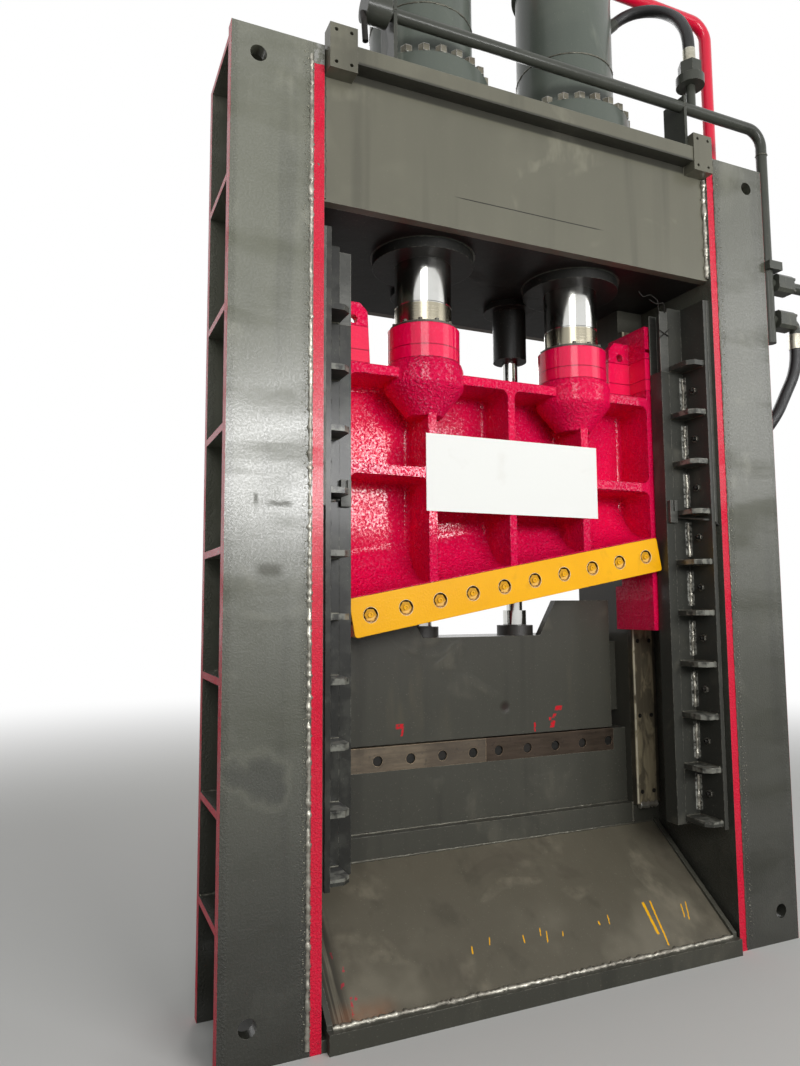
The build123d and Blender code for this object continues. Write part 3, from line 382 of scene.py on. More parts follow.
def greyCoat(f, shades, red=None):
    # Grey-green gloss over welded plate: patches ground and touched up, runs, and a darkening
    # towards the bottom that is partly shop dirt and partly painted shade.
    body, worn, patchy, run, dirtAndShade, dirtAndShadeTop = shades
    tone = f.noise(1.3, 4)
    patch = f.fade(f.noise(2.6, 3, warp=0.8), 0.57, 0.66)
    brush = f.noise(9, 4, vector=f.stretched((1, 1, 0.16), turn=(0, 0.06, 0)))
    stroke = f.noise(15, 3, vector=f.stretched((1, 1, 0.35), turn=(0.3, 0.2, 0.6)))
    runs = f.noise(7, 3, vector=f.stretched((1, 1, 0.06)))
    speck = f.fade(f.noise(150, 2), 0.67, 0.72)
    cloud = f.fade(f.noise(2.1, 3, warp=0.6), 0.54, 0.72)
    edge, rounded = f.edges(0.004)
    chips = edge * f.fade(f.noise(55, 3), 0.44, 0.56)
    colour = f.mix(0.6 * tone + 0.4 * brush, paint(*body), paint(*worn))
    colour = f.mix(patch * f.fade(stroke, 0.35, 0.65) * 0.5, colour, paint(*patchy))
    colour = f.mix(cloud * 0.22, colour, paint(*patchy))
    colour = f.mix(f.fade(runs, 0.54, 0.72) * 0.4, colour, paint(*run))
    if dirtAndShade:
        # painted shade mixed with shop dirt: the paint darkens towards the bottom
        dirtAndShadeMask = f.fade(f.z + 0.8 * tone, dirtAndShadeTop + 0.4, 0.3) * dirtAndShade
        colour = f.mix(dirtAndShadeMask, colour, paint(*onGrey["dirtAndShade"]))
    colour = f.mix(speck * 0.22, colour, paint(*onGrey["speck"]))
    colour = f.mix(chips * 0.6, colour, paint(*onGrey["chip"]))
    if red is not None:
        crimson = f.mix(f.noise(3.0, 3), paint(*onGrey["crimson"]),
                        paint(*onGrey["brightCrimson"]))
        colour = f.mix(red, colour, crimson)
    relief = 0.35 * f.noise(220, 2) + 0.8 * patch + 0.8 * stroke + 0.5 * brush
    rough = 0.3 + 0.2 * tone + 0.12 * patch
    return colour, rough, relief, rounded


def coated(f, colour, rough, relief, rounded, sheen, coatRough=0.16, index=1.4):
    # Paint with a clear gloss over it, as strong as sheen says.
    return f.close({"Base Color": colour, "Roughness": rough, "Specular IOR Level": 0.2,
                    "Coat Weight": sheen, "Coat Roughness": coatRough, "Coat IOR": index,
                    "Normal": f.bump(relief, 0.0012, normal=rounded)})


def greyPaint(kind):
    f = Finish(kind + "Paint")
    return coated(f, *greyCoat(f, greys[kind]), plainSheen[kind])


columnMarks = {
    "strip": (0.9184, 0.9576),     # crimson front edge of the inner plates, in x
    "stripTop": 3.415,
    "outerEdge": 1.2595,
    "dullFoot": (0.95, 0.25),      # where the darkening at the foot, dirt and painted shade, begins and is full
    # how dark the foot is painted, with dirt and painted shade, and how dark the right column is
    # painted as painted shade
    "footDirtAndShade": 0.45,
    "rightShade": 0.34,
    "coatRough": 0.24,
    "coatIndex": 1.74,
    # middle x and z, then the radius, or the half width and half height
    "stain": [(-1.206, 0.915, 0.045), (-1.124, 0.900, 0.070), (-1.080, 0.850, 0.045)],
    "rubs": [(-1.070, 1.800, 0.060, 0.014), (-1.155, 1.815, 0.010, 0.030),
             (-1.105, 1.575, 0.060, 0.034)],
}


def columnPaint(marks):
    # The columns carry crimson on their outer edges and on the front edge of the inner plates.
    # Above the crimson the inner plates' edge is ground bright.
    f = Finish("columnPaint")
    side = abs(f.x)
    ragged = f.noise(38, 3)
    inside, outside = marks["strip"]
    edge = (f.y < 0.0008) * (side > inside) * (side < outside)
    strip = edge * (f.z < marks["stripTop"] + 0.02 * ragged)
    outer = side > marks["outerEdge"]
    red = strip.highest(outer) * f.fade(ragged, 0.74, 0.70)
    colour, rough, relief, rounded = greyCoat(f, greys["column"], red=red)
    bare = (edge - strip) * f.fade(ragged, 0.40, 0.52)
    colour = f.mix(bare * 0.8, colour, paint(162, 162, 156))
    away = None
    for x, z, radius in marks["stain"]:
        one = f.vector("DISTANCE", f.place, (x, 0, z), "Value") - radius
        away = one if away is None else away.lowest(one)
    away = away + 0.09 * (f.noise(11, 4) - 0.5)
    colour = f.mix(f.fade(away, 0.02, -0.03) * 0.4, colour, paint(40, 42, 40))
    colour = f.mix(f.between(away, 0.004, 0.024, 0.014) * 0.18, colour, paint(126, 126, 112))
    rubbed = None
    wobble = 0.02 * (f.noise(24, 3) - 0.5)
    for x, z, wide, tall in marks["rubs"]:
        one = (f.fade(abs(f.x + wobble - x), wide, wide * 0.4)
               * f.fade(abs(f.z + wobble - z), tall, tall * 0.2))
        rubbed = one if rubbed is None else rubbed.highest(one)
    colour = f.mix(rubbed * 0.4, colour, paint(60, 58, 50))
    # painted shade with dirt: darker at the foot, and darker all over on the right column, where
    # less light falls
    dirtAndShadeMask = (f.fade(f.z, *marks["dullFoot"]) * marks["footDirtAndShade"]).highest(
        (f.x > 0) * marks["rightShade"])
    colour = f.mix(dirtAndShadeMask * (1 - red), colour, paint(30, 30, 27))
    bands = f.fade(f.noise(3.4, 4, vector=f.stretched((0.45, 1, 1.5)), warp=0.3), 0.28, 0.54)
    peel = f.fade(f.noise(130, 3), 0.4, 0.62)
    edges = f.fade(side, 1.225, 1.245).highest(f.fade(side, 1.01, 0.975))
    sheen = (0.2 + 0.8 * bands) * (0.6 + 0.4 * peel) * (1 - 0.7 * rubbed) * (1 - 0.5 * red)
    return coated(f, colour, rough, relief + (0.3 + 1.5 * edges) * peel, rounded, sheen,
                  marks["coatRough"], marks["coatIndex"])


gussetGrid = {"first": 0.508, "step": 0.224, "count": 10, "thick": 0.022}
bracket = {"sideLeg": 0.883, "backLeg": 0.162, "gussetFront": 0.112}


def guidePaint(grid, legs):
    # The brackets' inside corners were ground between the gussets. The gussets' tips carry a
    # painted highlight, and the left bracket painted shade.
    f = Finish("guidePaint")
    colour, rough, relief, rounded = greyCoat(f, greys["shadedGuide"])
    # painted shade: the left bracket is darkened in blotches
    colour = f.mix((f.x < 0) * f.fade(f.noise(16, 4), 0.66, 0.42) * 0.75, colour,
                   paint(26, 26, 24))
    across = abs(f.x) - legs["sideLeg"]
    behind = f.y - legs["backLeg"]
    near = f.fade(across * across + behind * behind, 0.00048, 0.00026)
    bay = f.add("Math", {"operation": "FRACT"}, {0: (f.z - grid["first"]) / grid["step"]})
    height = (f.z > 0.52) * (f.z < 2.52)
    ground = near * f.between(bay, 0.2, 0.88, 0.03) * height * f.fade(f.noise(70, 4), 0.36, 0.56)
    colour = f.mix(ground * 0.85, colour, paint(172, 172, 164))
    # painted highlight: the gussets' front tips are lightened as if lit from the front
    paintedLitTips = ((bay < 0.1) * height * (f.y < legs["gussetFront"])
            * (abs(f.x) < legs["sideLeg"] - 0.0005))
    colour = f.mix(paintedLitTips * f.fade(f.noise(30, 3), 0.35, 0.6) * 0.6, colour, paint(146, 146, 136))
    return coated(f, colour, rough, relief + 2.0 * ground, rounded, 0.35)


beamSeam = {"height": 3.047, "left": -0.36, "right": 0.32, "width": 0.0022,
            "lipShade": (3.405, 3.445), "lipEnd": 0.80}


def beamPaint(seam):
    # A dark joint line runs across the beam's front, and the lip of the top plate shades it.
    f = Finish("beamPaint")
    colour, rough, relief, rounded = greyCoat(f, greys["beam"])
    wobble = f.z + 0.004 * f.noise(3, 2)
    line = (f.fade(abs(wobble - seam["height"] - 0.002), seam["width"], seam["width"] * 0.5)
            * f.between(f.x, seam["left"], seam["right"], 0.03) * (f.y < 0.03))
    colour = f.mix(line * 0.85, colour, paint(24, 24, 22))
    shade = f.between(f.z, *seam["lipShade"], 0.006) * (abs(f.x) < seam["lipEnd"]) * (f.y < 0.021)
    colour = f.mix(shade * 0.75, colour, paint(30, 30, 28))
    return coated(f, colour, rough, relief - 2.0 * line, rounded, 0.35)


splashes = {
    # each mark's middle across, start and length along, half width and lean
    "drips": [(-0.290, 0.117, 0.022, 0.0035, 0.3), (-0.208, 0.133, 0.022, 0.003, 0.5),
              (-0.062, 0.118, 0.024, 0.003, 0.3), (0.019, 0.129, 0.024, 0.003, 0.4),
              (0.034, 0.106, 0.034, 0.003, 0.5), (0.112, 0.115, 0.014, 0.003, 0.6),
              (0.298, 0.126, 0.012, 0.004, 0.2), (0.345, 0.122, 0.030, 0.003, 0.4),
              (0.539, 0.060, 0.110, 0.008, 0.15), (0.556, 0.020, 0.150, 0.005, 0.25),
              (0.712, 0.095, 0.045, 0.0035, 0.5), (0.728, 0.085, 0.060, 0.0035, 0.6)],
    "reds": [(-0.410, 0.935, 0.020, 0.022, 0.0), (-0.402, 0.905, 0.030, 0.006, 0.2),
             (0.261, 0.880, 0.040, 0.006, 0.0), (0.354, 0.892, 0.030, 0.014, 0.3),
             (0.362, 0.935, 0.018, 0.010, 0.5), (0.389, 0.968, 0.020, 0.022, 0.3),
             (0.345, 0.925, 0.014, 0.008, 0.0)],
    "specks": [(-0.800, 0.020, 0.050, 0.005, 0.2), (-0.812, 0.095, 0.016, 0.008, 0.4),
               (-0.792, 0.140, 0.014, 0.005, 0.1), (-0.820, 0.180, 0.020, 0.004, 0.0),
               (-0.776, 0.060, 0.010, 0.006, 0.5)],
}


def strokes(f, across, along, places):
    # 1 on each short mark of a brush or drip.
    ragged = across + 0.006 * (f.noise(60, 2) - 0.5)
    total = None
    for middle, start, length, width, lean in places:
        centre = (along - start) * lean + middle
        inside = (f.fade(abs(ragged - centre), width, width * 0.6)
                  * f.between(along, start, start + length, 0.003))
        total = inside if total is None else total.highest(inside)
    return total


chuteWear = {"polish": (0.32, 0.05), "streaks": (-0.79, -0.83), "rust": (-0.86, -0.66)}


def chutePaint(marks, wear):
    # The chute is polished by falling scrap and spattered with yellow along its lower end.
    f = Finish("chutePaint")
    colour, rough, relief, rounded = greyCoat(f, greys["chute"])
    polish = f.fade(f.noise(3.4, 3), 0.45, 0.7) * f.fade(f.y, *wear["polish"])
    colour = f.mix(polish * 0.35, colour, paint(140, 134, 118))
    stains = f.fade(f.noise(2.1, 4, warp=0.6), 0.56, 0.66)
    colour = f.mix(stains * 0.3, colour, paint(44, 40, 34))
    drops = strokes(f, f.x, f.y, marks["drips"]) * (f.z < 0.44)
    colour = f.mix(drops, colour, paint(240, 178, 20))
    red = strokes(f, f.x, f.y, marks["specks"]) * f.fade(f.noise(110, 2), 0.42, 0.52)
    colour = f.mix(red * 0.8, colour, paint(196, 30, 60))
    streaks = f.fade(f.noise(70, 3, vector=f.stretched((1, 0.03, 0.03))), 0.42, 0.58)
    colour = f.mix(streaks * f.fade(f.x, *wear["streaks"]) * 0.75, colour, paint(34, 31, 26))
    rust = f.between(f.x, *wear["rust"], 0.05) * f.fade(f.y, 0.07, 0.02)
    colour = f.mix(rust * 0.5 * f.noise(20, 3), colour, paint(150, 84, 40))
    return coated(f, colour, rough + 0.1, relief, rounded, 0.15)


holdDownDent = {"place": (0.105, 0.512, 0.998), "radius": 0.034, "floor": 0.006}


def holdDownPaint(marks, hollow):
    # Dark plate with a hammered dent, rubbed streaks and red marks near its lower edge.
    f = Finish("holdDownPaint")
    colour, rough, relief, rounded = greyCoat(f, greys["inner"])
    streak = f.fade(f.noise(5, 3, vector=f.stretched((1, 1, 0.2))), 0.56, 0.72)
    colour = f.mix(streak * f.between(f.z, 0.95, 1.32, 0.12) * 0.35, colour, paint(112, 104, 82))
    away = f.vector("DISTANCE", f.place, hollow["place"], "Value")
    dent = f.fade(away, hollow["radius"], hollow["floor"])
    colour = f.mix(dent * 0.85, colour, paint(40, 28, 24))
    front = f.y < 0.5125
    reds = strokes(f, f.x, f.z, marks["reds"]) * front * f.fade(f.noise(90, 2), 0.36, 0.46)
    colour = f.mix(reds, colour, paint(196, 18, 34))
    return coated(f, colour, rough, relief - 3.0 * dent, rounded, 0.3)


castingSkin = {
    "grain": 92,                  # lumps to the metre
    "depth": 0.011,
    "turnedPart": (2.449, 2.60),  # heights of the collars, and of the groove in them
    "groove": (2.4995, 2.5025),
    "coves": (1.66, 1.80),        # dull and with weaker painted glints below the first height, glossy above the second
    "sideWalls": (0.755, 0.765),
}


def castingPaint(skin):
    # Crimson gloss on a rough casting; the turned collars and the side walls are smoother.
    f = Finish("castingPaint")
    tone = f.noise(2.2, 4)
    lumps = f.noise(skin["grain"], 3, 0.6)
    grain = f.fade(lumps, 0.42, 0.62)
    coarse = f.noise(26, 3)
    patchy = f.fade(f.noise(2.0, 2), 0.42, 0.54)
    turned = f.between(f.z, *skin["turnedPart"], 0.002) * f.fade(f.y, 0.60, 0.58)
    upper = 0.35 + 0.65 * f.fade(f.z, *skin["coves"])
    sides = f.fade(abs(f.x), *skin["sideWalls"])
    pitted = (0.6 + 0.4 * patchy) * (1 - 0.85 * turned) * (1 - 0.7 * sides)
    edge, rounded = f.edges(0.012)
    dust = f.fade(f.noise(6, 4), 0.58, 0.75)
    groove = f.between(f.z, *skin["groove"], 0.001) * turned
    colour = f.mix(tone, paint(232, 0, 64), paint(248, 0, 86))
    # the lumps are painted a lighter pink, partly grain and partly painted sparkle
    colour = f.mix(grain * pitted * 0.25, colour, paint(255, 48, 116))
    # painted highlight: pale pink glints on the lumps, stronger on the left and above the coves
    left = 0.4 + 0.6 * f.fade(f.x, 0.35, -0.2)
    glint = f.fade(lumps, 0.57, 0.68) * pitted * upper * left
    colour = f.mix(glint * 0.5, colour, paint(255, 134, 172))
    colour = f.mix(edge * 0.25, colour, paint(250, 40, 96))
    colour = f.mix(dust * 0.14 + groove * 0.3, colour, paint(130, 4, 34))
    relief = (lumps * 1.8 + coarse * 0.5) * pitted - 0.5 * groove
    shine = ((0.06 + 0.9 * grain) * upper).highest(turned * 0.9)
    return f.close({"Base Color": colour, "Roughness": 0.36 + 0.12 * tone,
                    "Specular IOR Level": 0.1, "Coat Weight": shine,
                    "Coat Roughness": 0.11, "Coat IOR": 1.44,
                    "Normal": f.bump(relief, skin["depth"], normal=rounded)})


def redPipePaint():
    f = Finish("redPipePaint")
    tone = f.noise(5, 3)
    dust = f.fade(f.noise(9, 3), 0.55, 0.75)
    colour = f.mix(tone, paint(212, 4, 46), paint(234, 8, 60))
    colour = f.mix(dust * 0.2, colour, paint(120, 26, 36))
    return f.close({"Base Color": colour, "Roughness": 0.3 + 0.15 * dust,
                    "Specular IOR Level": 0.3, "Coat Weight": 0.5, "Coat Roughness": 0.12,
                    "Normal": f.bump(f.noise(120, 2), 0.0008)})


barBolts = {"first": -0.6636, "step": 0.14747, "count": 10, "height": 1.542, "slope": 0.18606,
            "face": 0.199}


def barPaint(bolts):
    # Yellow gloss, grazed where the bar has been slung. The holes' floors carry painted shade,
    # dark brown in their upper left, and a pale painted highlight in their lower right, where
    # light falls in from above.
    f = Finish("barPaint")
    tone = f.noise(5, 4)
    scratch = f.fade(f.noise(70, 2, vector=f.stretched((1, 1, 9), turn=(0, 0.5, 0))), 0.68, 0.75)
    grime = f.fade(f.noise(10, 4, warp=0.5), 0.58, 0.78)
    sunk = f.fade(f.y, 0.1996, 0.2075)
    number = (f.x - bolts["first"]) / bolts["step"] + 0.5
    beside = (f.add("Math", {"operation": "FRACT"}, {0: number}) - 0.5) * bolts["step"]
    below = bolts["height"] + bolts["slope"] * (f.x - beside) - f.z
    lit = f.fade(below + 0.35 * beside, 0.006, 0.016)
    edge, rounded = f.edges(0.005)
    colour = f.mix(tone, paint(236, 166, 0), paint(252, 186, 2))
    colour = f.mix(grime * 0.3, colour, paint(176, 112, 12))
    # painted shade and painted highlight on the holes' floors
    colour = f.mix(sunk * 0.9, colour, f.mix(lit, paint(60, 34, 8), paint(236, 206, 150)))
    colour = f.mix((scratch * 0.4).highest(edge * f.fade(f.noise(40, 2), 0.5, 0.6) * 0.6),
                   colour, paint(150, 128, 84))
    return f.close({"Base Color": colour, "Roughness": 0.32 + 0.18 * grime,
                    "Specular IOR Level": 0.15, "Coat Weight": 0.2, "Coat Roughness": 0.14,
                    "Normal": f.bump(f.noise(120, 2), 0.0008, normal=rounded)})


def signPaint():
    f = Finish("signWhite")
    smear = f.fade(f.noise(9, 4, warp=0.6), 0.6, 0.8)
    edge, rounded = f.edges(0.002)
    colour = f.mix(smear * 0.25, paint(238, 239, 235), paint(220, 218, 210))
    colour = f.mix(edge * 0.5, colour, paint(190, 186, 178))
    return f.close({"Base Color": colour, "Roughness": 0.45 + 0.1 * smear,
                    "Specular IOR Level": 0.15,
                    "Normal": f.bump(f.noise(60, 2), 0.0004, normal=rounded)})


rodEnds = {"collarTop": 2.690, "couplingTop": 1.362, "soft": 0.002}


def chrome(ends):
    # Hard chrome with faint streaks along the stroke. The main rods' collars are only turned,
    # and the hold-down rods' couplings are dark.
    f = Finish("chromeRod")
    streak = f.noise(60, 3, vector=f.stretched((1, 1, 0.03)))
    film = f.fade(f.noise(4, 3), 0.45, 0.7)
    soft = ends["soft"]
    collar = (f.fade(f.z, ends["collarTop"] + soft, ends["collarTop"] - soft)
              * f.fade(f.y, 0.50, 0.48))
    coupling = f.fade(f.z, ends["couplingTop"] + soft, ends["couplingTop"] - soft)
    turning = f.noise(40, 2, vector=f.stretched((0.1, 0.1, 8)))
    colour = f.mix(film * 0.5, paint(214, 214, 210), paint(170, 167, 156))
    colour = f.mix(collar, colour, paint(158, 152, 134))
    colour = f.mix(coupling, colour, paint(52, 50, 46))
    rough = 0.08 + 0.08 * streak + 0.08 * film + 0.2 * collar * turning + 0.3 * coupling
    return f.close({"Base Color": colour, "Metallic": 1.0 - coupling, "Roughness": rough})


steels = {
    # light, dark, rust, roughness, how metallic
    "bladeSteel": ((122, 108, 88), (62, 53, 42), (42, 34, 25), 0.42, 0.2),
    # the right lower blade, darker than the left
    "oiledBlade": ((84, 72, 60), (46, 38, 31), (56, 41, 29), 0.38, 0.7),
    "boltSteel": ((112, 110, 102), (54, 53, 50), (60, 48, 38), 0.32, 0.7),
    "nutSteel": ((176, 172, 154), (96, 94, 84), (92, 78, 60), 0.26, 0.7),
    "plated": ((214, 210, 194), (158, 154, 138), (150, 142, 120), 0.2, 0.7),
    "weldMetal": ((210, 206, 192), (116, 114, 104), (84, 76, 66), 0.28, 0.7),
    "paintedWeld": ((120, 118, 106), (70, 69, 62), (52, 50, 44), 0.34, 0.7),
    "darkIron": ((44, 43, 40), (24, 24, 23), (40, 32, 26), 0.45, 0.7),
    # a painted highlight: the pale rims round the bar's holes
    "rimPaint": ((255, 224, 140), (246, 190, 60), (214, 150, 40), 0.4, 0.2),
    "scuffed": ((92, 92, 86), (50, 51, 48), (40, 40, 37), 0.4, 0.2),
}
browned = {"bladeSteel": {"across": (-0.32, -0.27), "share": 0.5, "colour": (58, 48, 38)}}


def groundSteel(name):
    # Bare steel: grinding marks, stains and bright wear on the corners.
    light, dark, rust, roughness, metal = steels[name]
    f = Finish(name)
    grinding = f.noise(80, 3, vector=f.stretched((0.12, 1, 1)))
    stain = f.fade(f.noise(6, 5, 0.6, warp=0.4), 0.42, 0.66)
    spots = f.fade(f.noise(70, 3), 0.6, 0.7)
    edge, rounded = f.edges(0.004)
    colour = f.mix(grinding, paint(*dark), paint(*light))
    colour = f.mix(stain * 0.5, colour, paint(*rust))
    if name in browned:
        brown = browned[name]
        colour = f.mix(f.fade(f.x + 0.02 * stain, *brown["across"]) * brown["share"], colour,
                       paint(*brown["colour"]))
    colour = f.mix(spots * 0.35, colour, paint(*(0.5 * part for part in dark)))
    colour = f.mix(edge * 0.8, colour, paint(*(min(255, 1.8 * part) for part in light)))
    return f.close({"Base Color": colour, "Metallic": metal - 0.3 * metal * stain,
                    "Roughness": roughness + 0.18 * stain + 0.1 * grinding,
                    "Normal": f.bump(grinding + 0.5 * spots, 0.0006, normal=rounded)})


linerBands = {"bright": (0.774, 0.783), "innerGrease": (0.772, 0.769),
              "outerGrease": (0.886, 0.893)}


def linerPaint(bands):
    # Liner plates: scoured and blotched, a bright inner edge and black grease along the sides.
    f = Finish("wornLiner")
    side = abs(f.x)
    scour = f.noise(60, 4, vector=f.stretched((1, 1, 0.08)))
    blotch = f.fade(f.noise(13, 5, vector=f.stretched((1.4, 1, 0.6)), warp=0.6), 0.42, 0.56)
    colour = f.mix(scour, paint(112, 104, 86), paint(198, 184, 150))
    colour = f.mix(blotch * 0.7, colour, paint(74, 68, 58))
    bright = f.between(side, *bands["bright"], 0.002) * f.fade(f.noise(20, 3), 0.3, 0.5)
    colour = f.mix(bright * 0.9, colour, paint(232, 224, 198))
    grease = f.fade(side, *bands["innerGrease"]).highest(f.fade(side, *bands["outerGrease"]))
    colour = f.mix(grease * 0.85, colour, paint(26, 24, 21))
    return f.close({"Base Color": colour, "Roughness": 0.34 + 0.2 * blotch,
                    "Specular IOR Level": 0.4, "Normal": f.bump(scour, 0.0008)})


finishes = {name: groundSteel(name) for name in steels}
finishes.update({kind: greyPaint(kind) for kind in plainSheen})
finishes.update({
    "column": columnPaint(columnMarks),
    "shadedGuide": guidePaint(gussetGrid, bracket),
    "wornLiner": linerPaint(linerBands),
    "beam": beamPaint(beamSeam),
    "chute": chutePaint(splashes, chuteWear),
    "holdDown": holdDownPaint(splashes, holdDownDent),
    "casting": castingPaint(castingSkin),
    "redPipe": redPipePaint(),
    "bar": barPaint(barBolts),
    "sign": signPaint(),
    "chrome": chrome(rodEnds),
})

wears = {
    # the nodes that wear each finish; all others wear inner
    "column": ["left_front_plate", "right_front_plate", "left_inner_plate", "right_inner_plate",
               "rear_plates", "column_ribs"],
    "beam": ["beam_front_plate", "beam_rear_plate", "beam_top_plate", "keeper_blocks"],
    "soffit": ["beam_bottom_plate", "beam_webs", "main_glands", "hold_down_barrels"],
    "barrel": ["left_main_barrel", "right_main_barrel", "cylinder_heads"],
    "pipe": ["pressure_pipe", "pipe_brackets", "manifold", "branch_flanges", "hose_nuts",
             "hose_fittings"],
    "redPipe": ["return_pipes"],
    "chute": ["chute_plate"],
    "holdDown": ["hold_down_beam"],
    "casting": ["slide_casting"],
    "bar": ["blade_backing_bar", "blade_bolts"],
    "sign": ["sign_plate"],
    "chrome": ["left_piston_rod", "right_piston_rod", "hold_down_rods"],
    "shadedGuide": ["gib_brackets", "gib_bars"],
    "scuffed": ["guide_pads", "oilers", "gib_end_channels"],
    "wornLiner": ["rear_liners"],
    "bladeSteel": ["left_lower_blade", "upper_blade"],
    "oiledBlade": ["right_lower_blade"],
    "boltSteel": ["branch_screws", "rod_clamp_rings", "rod_clamp_bolts"],
    "darkIron": ["lower_blade_bolts"],
    "nutSteel": ["barrel_studs"],
    "plated": ["hose_ferrules"],
}


def dressNodes():
    finishOf = {name: key for key, names in wears.items() for name in names}
    for name, node in nodes.items():
        finish = finishes[finishOf.get(name, "inner")]
        for slot in node.material_slots:
            slot.material = finish
        if not node.material_slots:
            node.data.materials.append(finish)


dressNodes()
print("finishes assigned")


# Welds, tubes and wires

beadSizes = {
    "welds": {"step": 0.008, "ripple": 0.5, "wander": 0.003, "roughness": 0.0016,
              "sides": 6, "seed": 5},
    "ragged": {"step": 0.009, "ripple": 1.1, "wander": 0.008, "roughness": 0.0028,
               "sides": 6, "seed": 9},
    "tubes": {"step": 0.008, "ripple": 0.0, "wander": 0.0, "roughness": 0.0,
              "sides": 10, "seed": 1},
}
beadNoise = {"wander": 30.0, "ripple": 95.0}  # waves to the metre, about


def beadRecipe(name, material):
    # A bead swept along every line: it swells and shrinks, and its skin is lumpy.
    r = Recipe(name, beadSizes["welds"])
    line = r.add("ResampleCurve", {"mode": "LENGTH"}, {"Curve": r.start, "Length": r.size("step")})
    place = r.add("InputPosition")
    wave = r.add("ShaderNodeTexNoise", {},
                 {"Vector": place, "Scale": beadNoise["wander"], "Detail": 1.0}, "Color")
    drift = r.scaled(r.vector("SUBTRACT", wave, (0.5, 0.5, 0.5)), r.size("wander"))
    line = r.add("SetPosition", {}, {"Geometry": line, "Offset": drift})
    ripple = r.add("ShaderNodeTexNoise", {},
                   {"Vector": place, "Scale": beadNoise["ripple"], "Detail": 1.0})
    swell = 1.0 + (ripple - 0.5) * 2.0 * r.size("ripple")
    profile = r.add("CurvePrimitiveCircle", {"mode": "RADIUS"},
                    {"Resolution": r.size("sides"), "Radius": 1.0})
    bead = r.add("CurveToMesh", {}, {"Curve": line, "Profile Curve": profile,
                                     "Scale": r.add("InputRadius") * swell, "Fill Caps": True})
    lump = r.random(-1.0, 1.0, r.size("seed")) * r.size("roughness")
    out = r.scaled(r.add("InputNormal"), lump)
    bead = r.add("SetPosition", {}, {"Geometry": bead, "Offset": out})
    bead = r.add("SetShadeSmooth", {}, {"Geometry": bead})
    r.close(bead, material)
    return r


gussets = [gussetGrid["first"] + gussetGrid["step"] * index
           for index in range(gussetGrid["count"])]
ribTops = [0.431, 0.791, 1.219, 1.653, 2.074, 2.495, 2.963, 3.474]

# Each weld is its bead's radius and its line: first those on both sides, then the single ones.
structureWelds = mirrored([
    (0.0090, [(0.915, 0.018, 2.925), (0.915, 0.018, 3.40)]),
    (0.0060, [(0.960, 0.399, 0.02), (0.960, 0.399, 3.47)]),
    (0.0050, [(0.918, 0.06, 3.505), (0.918, 0.99, 3.505)]),
    (0.0050, [(0.916, 0.992, 2.87), (0.916, 0.992, 3.43)]),
    (0.0050, [(0.883, 0.475, 0.044), (0.883, 0.020, 0.089)]),
    (0.0060, [(0.765, 0.467, 0.527), (0.765, 0.467, 0.44)]),
] + [(0.0050, [(0.962, y, top), (1.255, y, top)]) for top in ribTops for y in (0.051, 0.358)])
structureWelds += [
    (0.0060, [(-0.878, 0.466, 0.432), (0.878, 0.466, 0.432)]),
    (0.0050, [(-0.764, 0.503, 0.527), (0.764, 0.503, 0.527)]),
    (0.0042, [(0.958, 0.0, 0.01), (0.958, 0.0, 3.50)]),
    (0.0040, ring(0.376, 0.321, 3.910, 0.2225), True),
    (0.0040, ring(-0.376, 0.321, 3.910, 0.2225), True),
    (0.0040, ring(1.287, 0.012, 3.600, 0.0250, 16), True),
    (0.0040, [(-0.640, 0.01, 3.506), (-0.640, 0.13, 3.506)]),
    (0.0040, [(0.796, 0.01, 3.506), (0.796, 0.13, 3.506)]),
]


def gussetWelds():
    # Fillets where each gusset meets the two legs of the bracket.
    paths = []
    for low in gussets:
        for z in (low, low + gussetGrid["thick"]):
            paths.append((0.0042, [(0.806, 0.161, z), (0.881, 0.161, z), (0.882, 0.034, z)]))
    return mirrored(paths)


def brightSeams():
    # Bright seams: the brackets' inside corner between the gussets, the left column's front,
    # the beam's right end, the chute's lower edge and the foot of the right liner.
    paths = []
    for low, high in zip(gussets, gussets[1:]):
        z0, z1 = low + 0.040, high - 0.030
        paths.append((0.0070, [(0.880, 0.160, z0), (0.880, 0.160, z1)]))
    paths = mirrored(paths)
    paths.append((0.0085, [(-0.9665, 0.002, 0.02), (-0.9665, 0.002, 3.46)]))
    paths.append((0.0110, [(0.911, 0.017, 2.930), (0.911, 0.017, 3.39)]))
    paths.append((0.0090, [(-0.880, 0.001, 0.068), (0.880, 0.001, 0.068)]))
    paths.append((0.0150, [(0.790, 0.445, 0.514), (0.885, 0.445, 0.514)]))
    return paths


weldRecipe = beadRecipe("weldBeads", finishes["paintedWeld"])
brightRecipe = beadRecipe("brightBeads", finishes["weldMetal"])
weldRecipe.make("structureWelds", lines("structureLines", structureWelds + gussetWelds()),
                beadSizes["welds"], "frame")
brightRecipe.make("brightSeams", lines("brightLines", brightSeams()), beadSizes["ragged"],
                  "frame")


def spatterRecipe(sizes, material):
    # Drops of metal thrown beside a weld, flat on the plate that it runs along.
    r = Recipe("weldSpatter", sizes)
    points = r.add("CurveToPoints", {"mode": "LENGTH"},
                   {"Curve": r.start, "Length": r.size("spacing")})
    reach = r.random((-1, 0, -1), (1, 0, 1), r.size("seed"), "FLOAT_VECTOR")
    near = r.random(0.0, 1.0, r.size("throwSeed"))
    throw = r.scaled(reach, near * r.size("reach"))
    points = r.add("SetPosition", {}, {"Geometry": points, "Offset": throw})
    drop = r.add("MeshIcoSphere", {}, {"Radius": 1.0, "Subdivisions": 1})
    small = r.random(r.size("smallest"), 1.0, r.size("dropSeed")) * r.size("drop")
    drops = r.add("InstanceOnPoints", {}, {"Points": points, "Instance": drop, "Scale": small})
    r.close(drops, material)
    return r


